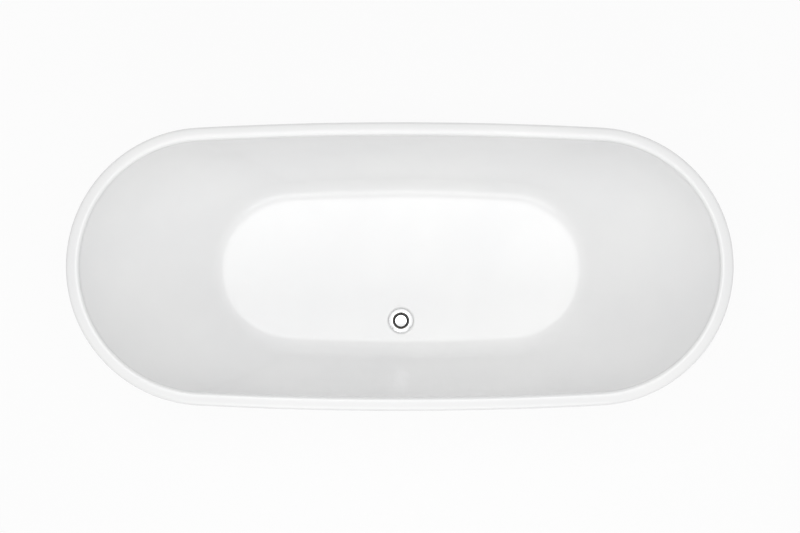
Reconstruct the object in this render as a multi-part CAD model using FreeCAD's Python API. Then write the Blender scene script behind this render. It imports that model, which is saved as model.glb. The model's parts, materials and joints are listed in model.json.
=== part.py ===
import FreeCAD, Part
import math
import os

# Freestanding oval bathtub: a basin moulding and a skirt moulding joined under the rim,
# carried by a board, a welded tube frame and five levelling feet, with a push-plug waste.
# Millimetres. Origin on the floor under the middle of the bath, +X along the length,
# +Z up, the waste on the -Y side.

Vector = FreeCAD.Vector
ORIGIN = Vector(0, 0, 0)
UP = Vector(0, 0, 1)

# Overall sizes
RIM_LENGTH = 1700.0
RIM_WIDTH = 735.0
SIDE_BOW = 13.3  # half width of the rim less the radius of its end arcs
FLOOR_HEIGHT = 150.0  # inside floor above the room's floor
BASIN_DEPTH = 430.0  # inside floor to the crest of the rim

# Shell thicknesses
ACRYLIC = 5.0
BASIN_GLASS = 4.0
BASIN_GLASS_INSET = 12.0  # fibreglass stops short of the rim's leg
SKIRT_GLASS = 3.0
BOND_LINE = 0.8  # glue line between a moulding and its fibreglass

# Rim
ROLL_WIDTH = 34.0  # rim seen from above
RIM_LEG = 20.0  # crest down to the start of the sloping wall
LIP_DEPTH = 34.0  # crest down to the lip's lower edge
INNER_ROUND = 7.0
OUTER_RUN = 8.0  # width of the outer rounding
CREST_FALL = 4.0  # fall from the crest to the outer rounding

# Basin
FLOOR_LENGTH = 1000.0
FLOOR_WIDTH = 394.0
FLOOR_ROUND = 68.0
WALL_RADIUS = 1100.0  # upright curve of the walls
ROUND_STEP_DEG = 11.0
ROUND_STEP_COUNT = 7
WALL_STEP_SHARES = (0.0, 0.25, 0.5, 0.75, 1.0)

# Waste recess in the basin floor
DRAIN_EDGE_INSET = 46.0  # flat floor's long edge to the waste's axis
RECESS_RADIUS = 37.0
RECESS_DEPTH = 2.5
RECESS_FLARE = 6.0
BASIN_HOLE_RADIUS = 26.0

# Skirt
SKIRT_BASE_LENGTH = 1290.0
SKIRT_BASE_WIDTH = 570.0
SKIRT_FLOOR_GAP = 4.0
SKIRT_TUCK = 24.0  # crest down to the skirt's top edge
SKIRT_GLASS_INSET = 16.0  # fibreglass stops short of the top and bottom edges
SKIRT_CURVE_POWER = 1.6
SKIRT_STEP_SHARES = (0.0, 0.2, 0.4, 0.6, 0.8, 1.0)

# Adhesive bead under the rim
BEAD_CLEARANCE = 0.5

# Board under the floor
BOARD_THICKNESS = 15.0
BOARD_END_MARGIN = 55.0
BOARD_SIDE_MARGIN = 36.0
BOARD_CORNER = 60.0
BOARD_NOTCH_RADIUS = 52.0

# Frame of square tube
TUBE = 25.0
TUBE_WALL = 1.5
CROSS_BAR_INSET = 100.0  # flat floor's end to the cross bar's middle
RAIL_CLEARANCE = 5.5  # back nut to rail
END_CLEARANCE = 1.0

# Plastic end caps of the tubes
CAP_PLATE = 3.0
CAP_PLUG_LENGTH = 8.0
CAP_CLEARANCE = 0.1

# Timber blocks bonded inside the skirt
BLOCK_LENGTH = 110.0
BLOCK_LOW = 78.0
BLOCK_HEIGHT = 92.0
BLOCK_THICKNESS = 14.0  # at its thinnest place

# Angle brackets from the frame to the blocks
BRACKET_WIDTH = 30.0
BRACKET_LEG = 32.0
BRACKET_THICKNESS = 3.0

# Screws
SCREW_RADIUS = 2.4
SCREW_HEAD_RADIUS = 4.6
SCREW_HEAD_HEIGHT = 2.6
SCREW_CLEARANCE = 0.1
BLOCK_SCREW_LENGTH = 16.0
BLOCK_SCREW_SPACING = 16.0
BAR_SCREW_LENGTH = 9.0
BOARD_SCREW_BITE = 11.0
BOARD_SCREW_SPACING = 160.0
BOARD_SCREW_COUNT = 4

# Levelling feet
FOOT_EDGE_INSET = 46.0  # cross bar's end to the foot's axis
PAD_RADIUS = 26.0
PAD_TOP_RADIUS = 14.0
PAD_EDGE_HEIGHT = 5.0
PAD_HEIGHT = 15.0
PAD_SOCKET_FLOOR = 5.0
FOOT_BOLT_RADIUS = 6.0
FOOT_BOLT_PROUD = 3.0  # bolt above the tube
COLLAR_FLATS = 19.0
COLLAR_HEIGHT = 7.0
RUNNING_CLEARANCE = 0.06
BOLT_HOLE_CLEARANCE = 0.5
BOLT_BOARD_CLEARANCE = 4.0
NUT_FLATS = 19.0
WELD_NUT_HEIGHT = 10.0
LOCK_NUT_HEIGHT = 7.0

# Waste body
FLANGE_RADIUS = 35.0
FLANGE_EDGE = 1.2
FLANGE_RISE = 2.2
FLANGE_SHOULDER_RADIUS = 26.5
FLANGE_UNDER_RADIUS = 25.4
THROAT_RADIUS = 22.0
THROAT_FALL = 1.6
SEAT_RADIUS = 19.5
SEAT_DEPTH = 9.0
BODY_RADIUS = 24.6
TAIL_RADIUS = 23.9  # one and a half inch pipe thread
TAIL_LENGTH = 30.0
TAIL_STEP = 18.0  # body below the back nut
SPIDER_HEIGHT = 5.0
SPIDER_ARM = 3.2
SPIDER_ARM_COUNT = 4
SPIDER_BITE = 1.0  # end of an arm inside the tail's wall
SPIDER_HUB_RADIUS = 8.5

# Seals and nut of the waste
FLANGE_SEAL_THICKNESS = 1.5
FLANGE_SEAL_RADIUS = 33.0
GASKET_THICKNESS = 4.0
GASKET_RADIUS = 37.0
FRICTION_WASHER_THICKNESS = 1.2
BACK_NUT_RADIUS = 40.0
BACK_NUT_HEIGHT = 11.0
BACK_NUT_LUG_COUNT = 8
BACK_NUT_LUG_DEPTH = 3.0
BACK_NUT_LUG_WIDTH = 12.0
BODY_CLEARANCE = 0.1

# Push plug
PLUG_TRAVEL = 8.0
CAP_RADIUS = 16.7
CAP_EDGE = 3.6
CAP_DOME = 1.4
CAP_EDGE_ROUND = 1.2
SEAL_RADIUS = 20.3
SEAL_THICKNESS = 3.0
SEAL_CLEARANCE = 0.8  # seal to throat with the plug pressed down
SEAL_HOLDER_RADIUS = 12.0
SEAL_HOLDER_FLANGE_RADIUS = 16.0
SEAL_HOLDER_LIP = 1.5
STEM_RADIUS = 2.6
STEM_HEAD_RADIUS = 4.2
STEM_HEAD_HEIGHT = 3.0

# Cartridge and spring under the plug
CARTRIDGE_RADIUS = 6.4
CARTRIDGE_BORE = 5.0
CARTRIDGE_TOP = 2.0
CARTRIDGE_STOP = 1.0  # room above the cartridge, and above the stem's head inside it
SPRING_WIRE = 0.5
SPRING_COIL_RADIUS = 4.0
SPRING_TURNS = 6
SPRING_CLEARANCE = 0.4

OVERRUN = 20.0  # length by which every cutter passes the face it cuts

# Derived levels and places
RIM_TOP = FLOOR_HEIGHT + BASIN_DEPTH
WALL_TOP = RIM_TOP - RIM_LEG
ROUND_CENTRE = FLOOR_HEIGHT + FLOOR_ROUND
RIM_HALF_LENGTH = RIM_LENGTH / 2
RIM_HALF_WIDTH = RIM_WIDTH / 2
RIM_END_RADIUS = RIM_HALF_WIDTH - SIDE_BOW
CREST = INNER_ROUND - ROLL_WIDTH
CREST_RUN = -OUTER_RUN - CREST
CREST_RADIUS = (CREST_RUN**2 + CREST_FALL**2) / (2 * CREST_FALL)
SHOULDER = RIM_TOP - CREST_FALL
SHOULDER_SLOPE = math.asin(CREST_RUN / CREST_RADIUS)
OUTER_RADIUS = OUTER_RUN / (1 - math.sin(SHOULDER_SLOPE))
OUTER_LOW = SHOULDER - OUTER_RADIUS * math.cos(SHOULDER_SLOPE)
GLASS_OFFSET = ACRYLIC + BOND_LINE
BASIN_UNDERSIDE = FLOOR_HEIGHT - GLASS_OFFSET - BASIN_GLASS
SKIRT_TOP = RIM_TOP - SKIRT_TUCK
SKIRT_SET_BACK = ACRYLIC + BOND_LINE
SKIRT_END_SHARE = 1 - SIDE_BOW / (RIM_HALF_WIDTH - SKIRT_SET_BACK)
BOARD_UNDERSIDE = BASIN_UNDERSIDE - BOARD_THICKNESS
TUBE_UNDERSIDE = BOARD_UNDERSIDE - TUBE
DRAIN_Y = DRAIN_EDGE_INSET - FLOOR_WIDTH / 2
RAIL_Y = abs(DRAIN_Y) - BACK_NUT_RADIUS - RAIL_CLEARANCE - TUBE / 2
CROSS_BAR_X = FLOOR_LENGTH / 2 - CROSS_BAR_INSET


# Outlines made of four tangent arcs

def oval_arcs(half_length, half_width, end_radius):
    """Centre, radius, start and sweep in degrees of the right, top, left and bottom arcs."""
    reach = half_length - end_radius
    side_radius = (reach**2 + half_width**2 - end_radius**2) / (2 * (half_width - end_radius))
    turn = math.degrees(math.atan2(side_radius - half_width, reach))
    drop = side_radius - half_width
    return (
        (Vector(reach, 0, 0), end_radius, -turn, 2 * turn),
        (Vector(0, -drop, 0), side_radius, turn, 180 - 2 * turn),
        (Vector(-reach, 0, 0), end_radius, 180 - turn, 2 * turn),
        (Vector(0, drop, 0), side_radius, 180 + turn, 180 - 2 * turn),
    )


def point_on(centre, radius, degrees):
    """Point of a level circle."""
    angle = math.radians(degrees)
    return centre + Vector(radius * math.cos(angle), radius * math.sin(angle), 0)


def oval(half_length, half_width, end_radius, level):
    """Closed level wire of four tangent arcs."""
    edges = []
    for centre, radius, start, sweep in oval_arcs(half_length, half_width, end_radius):
        stops = (start, start + sweep / 2, start + sweep)
        first, middle, last = (point_on(centre, radius, stop) for stop in stops)
        edges.append(Part.Arc(first, middle, last).toShape())
    wire = Part.Wire(edges)
    wire.translate(Vector(0, 0, level))
    return wire


def half_width_at(half_length, half_width, end_radius, along):
    """Half width of an oval at a distance along its length from the middle."""
    end, side = oval_arcs(half_length, half_width, end_radius)[:2]
    centre, radius = (end[0], end[1]) if along > end[0].x else (side[0], side[1])
    return centre.y + math.sqrt(radius**2 - (along - centre.x) ** 2)


def ring_along_rim(points):
    """Solid ring whose section, of straight lines and three-point arcs, follows the rim's outline.

    Each entry of points is (offset from the rim's outer edge, height), or a pair of such
    places for an arc: the place it passes and the place where it ends.
    """
    pieces = []
    for centre, radius, start, sweep in oval_arcs(RIM_HALF_LENGTH, RIM_HALF_WIDTH, RIM_END_RADIUS):
        section = section_face(points, radius)
        section.rotate(ORIGIN, UP, start)
        section.translate(centre)
        pieces.append(section.revolve(centre, UP, sweep))
    return pieces[0].fuse(pieces[1:])


def section_face(points, radius):
    """Upright face in the XZ plane from a list of lines and arcs, shifted out by radius."""
    def place(pair):
        return Vector(radius + pair[0], 0, pair[1])

    edges = []
    here = place(points[0])
    for entry in points[1:] + points[:1]:
        if isinstance(entry[0], tuple):
            through, there = place(entry[0]), place(entry[1])
            edges.append(Part.Arc(here, through, there).toShape())
        else:
            there = place(entry)
            edges.append(Part.makeLine(here, there))
        here = there
    return Part.Face(Part.Wire(edges))


# Simple solids

def cylinder(radius, low, high, x=0, y=0):
    """Upright cylinder between two levels."""
    return Part.makeCylinder(radius, high - low, Vector(x, y, low), UP)


def tube_ring(outer, inner, low, high, x=0, y=0):
    """Upright ring between two levels."""
    return cylinder(outer, low, high, x, y).cut(cylinder(inner, low - OVERRUN, high + OVERRUN, x, y))


def block(x_low, x_high, y_low, y_high, z_low, z_high):
    """Box between two corners."""
    corner = Vector(x_low, y_low, z_low)
    return Part.makeBox(x_high - x_low, y_high - y_low, z_high - z_low, corner)


def hexagon(flats, low, high, x, y):
    """Upright hexagonal prism between two levels."""
    corner = flats / math.sqrt(3)
    points = [point_on(Vector(x, y, low), corner, 60 * step) for step in range(6)]
    return Part.Face(Part.makePolygon(points + points[:1])).extrude(Vector(0, 0, high - low))


def turned(points, x=0, y=0):
    """Solid of revolution about an upright axis from (radius, height) places."""
    solid = section_face(points, 0).revolve(ORIGIN, UP, 360)
    solid.translate(Vector(x, y, 0))
    return solid


def grouped(solids):
    """Several separate solids as one shape."""
    return Part.makeCompound(solids)


def whole(shape):
    """The single solid of a shape, with leftover seams removed."""
    return shape.removeSplitter().Solids[0]


# Basin

def wall_half(top_half, floor_half, level, offset):
    """Half size of the basin's curved profile at a level, moved out by offset."""
    radius = FLOOR_ROUND + offset
    sweep = WALL_RADIUS + offset
    arm = WALL_RADIUS - FLOOR_ROUND
    run = top_half + offset - floor_half
    rise = WALL_TOP - ROUND_CENTRE
    span = math.hypot(run, rise)
    bearing = math.atan2(rise, run) + math.acos((arm**2 + span**2 - sweep**2) / (2 * arm * span))
    if level < ROUND_CENTRE - radius * math.sin(bearing):
        return floor_half + math.sqrt(max(radius**2 - (ROUND_CENTRE - level) ** 2, 0))
    fall = level - ROUND_CENTRE - arm * math.sin(bearing)
    return floor_half + arm * math.cos(bearing) + math.sqrt(sweep**2 - fall**2)


def basin_section(level, offset):
    """Level oval of the basin's profile moved out by offset."""
    half_length = wall_half(RIM_HALF_LENGTH - ROLL_WIDTH, FLOOR_LENGTH / 2, level, offset)
    half_width = wall_half(RIM_HALF_WIDTH - ROLL_WIDTH, FLOOR_WIDTH / 2, level, offset)
    bow = SIDE_BOW * (half_width - offset) / (RIM_HALF_WIDTH - ROLL_WIDTH)
    return oval(half_length, half_width, half_width - bow, level)


def basin_volume(offset, top):
    """Solid inside the basin's profile moved out by offset, from its floor to a top level."""
    radius = FLOOR_ROUND + offset
    turns = [math.radians(ROUND_STEP_DEG * index) for index in range(ROUND_STEP_COUNT + 1)]
    levels = [ROUND_CENTRE - radius * math.cos(turn) for turn in turns]
    wall_levels = [levels[-1] + share * (top - levels[-1]) for share in WALL_STEP_SHARES]
    rounding = Part.makeLoft([basin_section(level, offset) for level in levels], True, False)
    wall = Part.makeLoft([basin_section(level, offset) for level in wall_levels], True, False)
    return rounding.fuse(wall)


def rim_ring():
    """Rolled rim with its inner leg and its outer lip."""
    crest_half = CREST + CREST_RUN / 2
    crest_half_fall = CREST_RADIUS - math.sqrt(CREST_RADIUS**2 - (CREST_RUN / 2) ** 2)
    mid_slope = (SHOULDER_SLOPE + math.pi / 2) / 2
    outer_mid_offset = OUTER_RADIUS * (math.sin(mid_slope) - 1)
    outer_mid_level = OUTER_LOW + OUTER_RADIUS * math.cos(mid_slope)
    bend = INNER_ROUND * (1 - math.cos(math.pi / 4))
    lip_low = RIM_TOP - LIP_DEPTH
    return ring_along_rim(
        [
            (-ROLL_WIDTH, WALL_TOP),
            (-ROLL_WIDTH, RIM_TOP - INNER_ROUND),
            ((bend - ROLL_WIDTH, RIM_TOP - bend), (CREST, RIM_TOP)),
            ((crest_half, RIM_TOP - crest_half_fall), (-OUTER_RUN, SHOULDER)),
            ((outer_mid_offset, outer_mid_level), (0, OUTER_LOW)),
            (0, lip_low),
            (-ACRYLIC, lip_low),
            (-ACRYLIC, OUTER_LOW),
            (-OUTER_RUN - ACRYLIC / 2, SHOULDER - ACRYLIC),
            (CREST, RIM_TOP - ACRYLIC),
            (ACRYLIC - ROLL_WIDTH, RIM_TOP - INNER_ROUND),
            (ACRYLIC - ROLL_WIDTH, WALL_TOP),
        ]
    )


def recess(offset):
    """Dished seat of the waste, moved out by offset, open upward."""
    low = FLOOR_HEIGHT - RECESS_DEPTH - offset
    rise = RECESS_DEPTH + OVERRUN
    flare = RECESS_FLARE * rise / RECESS_DEPTH
    base = RECESS_RADIUS + offset
    return Part.makeCone(base, base + flare, rise, Vector(0, DRAIN_Y, low), UP)


def waste_hole():
    """Upright cutter for the waste's body through the basin floor."""
    return cylinder(BASIN_HOLE_RADIUS, BASIN_UNDERSIDE - OVERRUN, FLOOR_HEIGHT, 0, DRAIN_Y)


def basin_shell():
    """Inner moulding: rim, walls and floor, with the waste's recess and hole."""
    bowl = basin_volume(ACRYLIC, WALL_TOP).cut(basin_volume(0, WALL_TOP))
    below_middle = cylinder(RIM_HALF_WIDTH, BASIN_UNDERSIDE, FLOOR_HEIGHT - ACRYLIC / 2, 0, DRAIN_Y)
    dish = recess(ACRYLIC).common(below_middle)
    bowl = bowl.fuse(dish).cut(recess(0)).cut(waste_hole())
    return whole(rim_ring().fuse(bowl))


def basin_fibreglass():
    """Fibreglass on the back of the basin, from its floor to just under the rim."""
    outer = basin_volume(GLASS_OFFSET + BASIN_GLASS, WALL_TOP - BASIN_GLASS_INSET)
    layer = outer.cut(basin_volume(GLASS_OFFSET, WALL_TOP))
    return whole(layer.cut(recess(GLASS_OFFSET)).cut(waste_hole()))


# Skirt

def skirt_half(base_half, top_half, level, offset):
    """Half size of the skirt's profile at a level, moved in by offset."""
    height = SKIRT_TOP - SKIRT_FLOOR_GAP
    share = min((level - SKIRT_FLOOR_GAP) / height, 1)
    spread = top_half - base_half
    slope = spread / height * SKIRT_CURVE_POWER * (1 - share) ** (SKIRT_CURVE_POWER - 1)
    return base_half + spread * (1 - (1 - share) ** SKIRT_CURVE_POWER) - offset * math.hypot(1, slope)


def skirt_sizes(level, offset):
    """Half length, half width and end radius of the skirt at a level, moved in by offset."""
    half_length = skirt_half(SKIRT_BASE_LENGTH / 2, RIM_HALF_LENGTH - SKIRT_SET_BACK, level, offset)
    half_width = skirt_half(SKIRT_BASE_WIDTH / 2, RIM_HALF_WIDTH - SKIRT_SET_BACK, level, offset)
    return half_length, half_width, half_width * SKIRT_END_SHARE


def skirt_volume(offset, low, high):
    """Solid inside the skirt's profile moved in by offset, between two levels."""
    levels = [low + share * (high - low) for share in SKIRT_STEP_SHARES]
    return Part.makeLoft([oval(*skirt_sizes(level, offset), level) for level in levels], True, False)


def skirt_layer(offset, thickness, low, high):
    """Layer of the skirt between two levels."""
    inside = skirt_volume(offset + thickness, low - SKIRT_FLOOR_GAP, high + OVERRUN)
    return skirt_volume(offset, low, high).cut(inside)


def skirt_shell():
    """Outer moulding."""
    return whole(skirt_layer(0, ACRYLIC, SKIRT_FLOOR_GAP, SKIRT_TOP))


def skirt_fibreglass():
    """Fibreglass on the inside of the skirt."""
    low = SKIRT_FLOOR_GAP + SKIRT_GLASS_INSET
    return whole(skirt_layer(GLASS_OFFSET, SKIRT_GLASS, low, SKIRT_TOP - SKIRT_GLASS_INSET))


def rim_adhesive():
    """Bead that stands on the skirt's top edge and fills the rim's hollow."""
    outer = -ACRYLIC - BEAD_CLEARANCE
    inner = ACRYLIC - ROLL_WIDTH + BEAD_CLEARANCE
    low, high = SKIRT_TOP, SHOULDER - ACRYLIC - BEAD_CLEARANCE
    slant = -OUTER_RUN - ACRYLIC / 2
    return whole(
        ring_along_rim(
            [(inner, low), (inner, high), (slant, high), (outer, OUTER_LOW - BEAD_CLEARANCE), (outer, low)]
        )
    )


# Board and frame

def base_board():
    """Board under the flat floor, with a notch for the waste and a hole for the middle foot."""
    half_length = FLOOR_LENGTH / 2 - BOARD_END_MARGIN
    half_width = FLOOR_WIDTH / 2 - BOARD_SIDE_MARGIN
    board = block(-half_length, half_length, -half_width, half_width, BOARD_UNDERSIDE, BASIN_UNDERSIDE)
    corners = [edge for edge in board.Edges if edge.BoundBox.ZLength > BOARD_THICKNESS / 2]
    board = board.makeFillet(BOARD_CORNER, corners)
    low, high = BOARD_UNDERSIDE - OVERRUN, BASIN_UNDERSIDE + OVERRUN
    board = board.cut(cylinder(BOARD_NOTCH_RADIUS, low, high, 0, DRAIN_Y))
    board = board.cut(cylinder(FOOT_BOLT_RADIUS + BOLT_BOARD_CLEARANCE, low, high))
    for x, y in board_screw_places():
        board = board.cut(screw_hole(x, y, low, BOARD_UNDERSIDE + BOARD_SCREW_BITE))
    return whole(board)


def board_screw_places():
    """Places of the screws from the two rails into the board."""
    first = -(BOARD_SCREW_COUNT - 1) / 2
    steps = [(first + index) * BOARD_SCREW_SPACING for index in range(BOARD_SCREW_COUNT)]
    return [(x, side * RAIL_Y) for side in (-1, 1) for x in steps]


def screw_hole(x, y, low, high):
    """Upright cutter for a screw's shank."""
    return cylinder(SCREW_RADIUS + SCREW_CLEARANCE, low, high, x, y)


def square_tube(x_low, x_high, y_low, y_high, along_x):
    """Level square tube under the board, open at both ends."""
    low, high = TUBE_UNDERSIDE, BOARD_UNDERSIDE
    solid = block(x_low, x_high, y_low, y_high, low, high)
    x_grow, y_grow = (OVERRUN, -TUBE_WALL) if along_x else (-TUBE_WALL, OVERRUN)
    inside = block(
        x_low - x_grow, x_high + x_grow, y_low - y_grow, y_high + y_grow, low + TUBE_WALL, high - TUBE_WALL
    )
    return solid.cut(inside)


def rail(side):
    """Long tube between the two cross bars, drilled for the board's screws."""
    reach = CROSS_BAR_X - TUBE / 2
    tube = square_tube(-reach, reach, side * RAIL_Y - TUBE / 2, side * RAIL_Y + TUBE / 2, True)
    for x, y in board_screw_places():
        if y * side > 0:
            tube = tube.cut(screw_hole(x, y, TUBE_UNDERSIDE - OVERRUN, BOARD_UNDERSIDE + OVERRUN))
    return whole(tube)


def foot_hole(x, y):
    """Upright cutter for a foot's bolt through a tube."""
    radius = FOOT_BOLT_RADIUS + BOLT_HOLE_CLEARANCE
    return cylinder(radius, TUBE_UNDERSIDE - OVERRUN, BOARD_UNDERSIDE + OVERRUN, x, y)


def block_face():
    """Distance from the middle plane to the flat inner face of the timber blocks."""
    low_sizes = skirt_sizes(BLOCK_LOW, GLASS_OFFSET + SKIRT_GLASS + BOND_LINE)
    return half_width_at(*low_sizes, CROSS_BAR_X + BLOCK_LENGTH / 2) - BLOCK_THICKNESS


BLOCK_FACE = block_face()
CROSS_BAR_HALF = BLOCK_FACE - END_CLEARANCE - CAP_PLATE
FOOT_Y = CROSS_BAR_HALF - FOOT_EDGE_INSET
FOOT_PLACES = (
    (-CROSS_BAR_X, -FOOT_Y),
    (-CROSS_BAR_X, FOOT_Y),
    (CROSS_BAR_X, -FOOT_Y),
    (CROSS_BAR_X, FOOT_Y),
    (0, 0),
)
CORNERS = [(end, side) for end in (-1, 1) for side in (-1, 1)]


def cross_bar(end):
    """Tube across the bath with a foot near each end and a bracket screw beyond it."""
    x = end * CROSS_BAR_X
    tube = square_tube(x - TUBE / 2, x + TUBE / 2, -CROSS_BAR_HALF, CROSS_BAR_HALF, False)
    for side in (-1, 1):
        tube = tube.cut(foot_hole(x, side * FOOT_Y))
        low, high = BOARD_UNDERSIDE - BAR_SCREW_LENGTH, BOARD_UNDERSIDE + OVERRUN
        tube = tube.cut(screw_hole(x, side * bar_screw_y(), low, high))
    return whole(tube)


def centre_cross_bar():
    """Short tube between the rails that carries the middle foot."""
    reach = RAIL_Y - TUBE / 2
    tube = square_tube(-TUBE / 2, TUBE / 2, -reach, reach, False)
    return whole(tube.cut(foot_hole(0, 0)))


def tube_end_caps():
    """Four plastic plugs in the ends of the cross bars."""
    inside = TUBE / 2 - TUBE_WALL - CAP_CLEARANCE
    middle = TUBE_UNDERSIDE + TUBE / 2
    caps = []
    for end, side in CORNERS:
        x = end * CROSS_BAR_X
        bar_end = side * CROSS_BAR_HALF
        plate_end = bar_end + side * CAP_PLATE
        plug_end = bar_end - side * CAP_PLUG_LENGTH
        plate = block(
            x - TUBE / 2,
            x + TUBE / 2,
            min(bar_end, plate_end),
            max(bar_end, plate_end),
            TUBE_UNDERSIDE,
            BOARD_UNDERSIDE,
        )
        plug = block(
            x - inside,
            x + inside,
            min(bar_end, plug_end),
            max(bar_end, plug_end),
            middle - inside,
            middle + inside,
        )
        caps.append(whole(plate.fuse(plug)))
    return grouped(caps)


# Skirt fixings, with the brackets standing on the tubes at the board's underside

def bar_screw_y():
    """Distance from the middle plane to the screw through a bracket's level leg."""
    return BLOCK_FACE - BRACKET_LEG / 2 - BRACKET_THICKNESS / 2


def block_screw_places(end):
    """Along-the-length and height places of the screws from a bracket into its block."""
    middle = BOARD_UNDERSIDE + (BRACKET_LEG + BRACKET_THICKNESS) / 2
    return [(end * CROSS_BAR_X + step * BLOCK_SCREW_SPACING / 2, middle) for step in (-1, 1)]


def level_cylinder(radius, x, z, y_start, y_end):
    """Level cylinder across the bath."""
    direction = Vector(0, math.copysign(1, y_end - y_start), 0)
    return Part.makeCylinder(radius, abs(y_end - y_start), Vector(x, y_start, z), direction)


def skirt_block(end, side):
    """Timber block with a flat inner face and an outer face that follows the skirt."""
    x = end * CROSS_BAR_X
    near, far = side * BLOCK_FACE, side * RIM_HALF_WIDTH
    low, high = BLOCK_LOW, BLOCK_LOW + BLOCK_HEIGHT
    blank = block(x - BLOCK_LENGTH / 2, x + BLOCK_LENGTH / 2, min(near, far), max(near, far), low, high)
    inside = skirt_volume(GLASS_OFFSET + SKIRT_GLASS + BOND_LINE, SKIRT_FLOOR_GAP, SKIRT_TOP)
    timber = blank.common(inside)
    radius = SCREW_RADIUS + SCREW_CLEARANCE
    for screw_x, screw_z in block_screw_places(end):
        depth = side * (BLOCK_FACE + BLOCK_SCREW_LENGTH - BRACKET_THICKNESS)
        timber = timber.cut(level_cylinder(radius, screw_x, screw_z, near - side * OVERRUN, depth))
    return whole(timber)


def skirt_brackets():
    """Four angle brackets, each standing on a cross bar against a timber block."""
    brackets = []
    radius = SCREW_RADIUS + SCREW_CLEARANCE
    low = BOARD_UNDERSIDE
    for end, side in CORNERS:
        x = end * CROSS_BAR_X
        near, far = side * (BLOCK_FACE - BRACKET_LEG), side * BLOCK_FACE
        leg = far - side * BRACKET_THICKNESS
        left, right = x - BRACKET_WIDTH / 2, x + BRACKET_WIDTH / 2
        flat = block(left, right, min(near, far), max(near, far), low, low + BRACKET_THICKNESS)
        upright = block(left, right, min(leg, far), max(leg, far), low, low + BRACKET_LEG)
        angle = flat.fuse(upright)
        angle = angle.cut(screw_hole(x, side * bar_screw_y(), low - OVERRUN, low + OVERRUN))
        start, stop = leg - side * OVERRUN, far + side * OVERRUN
        for screw_x, screw_z in block_screw_places(end):
            angle = angle.cut(level_cylinder(radius, screw_x, screw_z, start, stop))
        brackets.append(whole(angle))
    return grouped(brackets)


def block_screws():
    """Screws through the brackets into the timber blocks."""
    screws = []
    for end, side in CORNERS:
        leg = side * (BLOCK_FACE - BRACKET_THICKNESS)
        for x, z in block_screw_places(end):
            shank = level_cylinder(SCREW_RADIUS, x, z, leg, leg + side * BLOCK_SCREW_LENGTH)
            head = level_cylinder(SCREW_HEAD_RADIUS, x, z, leg, leg - side * SCREW_HEAD_HEIGHT)
            screws.append(whole(shank.fuse(head)))
    return grouped(screws)


def upright_screw(x, y, seat, tip, head_end):
    """Upright screw from its head's seat to its tip, with the head ending at head_end."""
    shank = cylinder(SCREW_RADIUS, min(seat, tip), max(seat, tip), x, y)
    head = cylinder(SCREW_HEAD_RADIUS, min(seat, head_end), max(seat, head_end), x, y)
    return whole(shank.fuse(head))


def bar_screws():
    """Screws through the brackets' level legs into the cross bars."""
    seat = BOARD_UNDERSIDE + BRACKET_THICKNESS
    tip, head_end = seat - BAR_SCREW_LENGTH, seat + SCREW_HEAD_HEIGHT
    screws = []
    for end, side in CORNERS:
        screws.append(upright_screw(end * CROSS_BAR_X, side * bar_screw_y(), seat, tip, head_end))
    return grouped(screws)


def board_screws():
    """Screws from under the rails into the board."""
    tip = BOARD_UNDERSIDE + BOARD_SCREW_BITE
    seat = TUBE_UNDERSIDE
    head_end = seat - SCREW_HEAD_HEIGHT
    return grouped([upright_screw(x, y, seat, tip, head_end) for x, y in board_screw_places()])


# Levelling feet

def foot_pad(x, y):
    """Round pad with a socket for the bolt."""
    socket = FOOT_BOLT_RADIUS + RUNNING_CLEARANCE
    return turned(
        [
            (0, 0),
            (PAD_RADIUS, 0),
            (PAD_RADIUS, PAD_EDGE_HEIGHT),
            (PAD_TOP_RADIUS, PAD_HEIGHT),
            (socket, PAD_HEIGHT),
            (socket, PAD_SOCKET_FLOOR),
            (0, PAD_SOCKET_FLOOR),
        ],
        x,
        y,
    )


def foot_bolt(x, y):
    """Threaded foot bolt, with a spanner collar that rests on the pad."""
    shank = cylinder(FOOT_BOLT_RADIUS, PAD_SOCKET_FLOOR, BOARD_UNDERSIDE + FOOT_BOLT_PROUD, x, y)
    return whole(shank.fuse(hexagon(COLLAR_FLATS, PAD_HEIGHT, PAD_HEIGHT + COLLAR_HEIGHT, x, y)))


def foot_nuts(low, height):
    """One hexagonal nut on each foot bolt."""
    bore = FOOT_BOLT_RADIUS + RUNNING_CLEARANCE
    nuts = []
    for x, y in FOOT_PLACES:
        nut = hexagon(NUT_FLATS, low, low + height, x, y)
        nuts.append(nut.cut(cylinder(bore, low - OVERRUN, low + height + OVERRUN, x, y)))
    return grouped(nuts)


# Waste

RECESS_FLOOR = FLOOR_HEIGHT - RECESS_DEPTH
FLANGE_UNDERSIDE = RECESS_FLOOR + FLANGE_SEAL_THICKNESS
FLANGE_TOP = FLANGE_UNDERSIDE + FLANGE_EDGE + FLANGE_RISE
THROAT_TOP = FLANGE_TOP - THROAT_FALL
SEAT_LEVEL = THROAT_TOP - SEAT_DEPTH
GASKET_LOW = BASIN_UNDERSIDE - GASKET_THICKNESS
WASHER_LOW = GASKET_LOW - FRICTION_WASHER_THICKNESS
BACK_NUT_LOW = WASHER_LOW - BACK_NUT_HEIGHT
TAIL_TOP = BACK_NUT_LOW - TAIL_STEP
TAIL_LOW = TAIL_TOP - TAIL_LENGTH
SPIDER_LOW = TAIL_TOP
SPIDER_TOP = SPIDER_LOW + SPIDER_HEIGHT
CONE_RUN = THROAT_RADIUS - SEAT_RADIUS
CLOSED_SEAL_LOW = SEAT_LEVEL + SEAT_DEPTH * (SEAL_RADIUS - SEAT_RADIUS) / CONE_RUN + SEAL_CLEARANCE
SEAL_LOW = CLOSED_SEAL_LOW + PLUG_TRAVEL
CAP_LOW = SEAL_LOW + SEAL_THICKNESS
HOLDER_LOW = SEAL_LOW - SEAL_HOLDER_LIP
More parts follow.
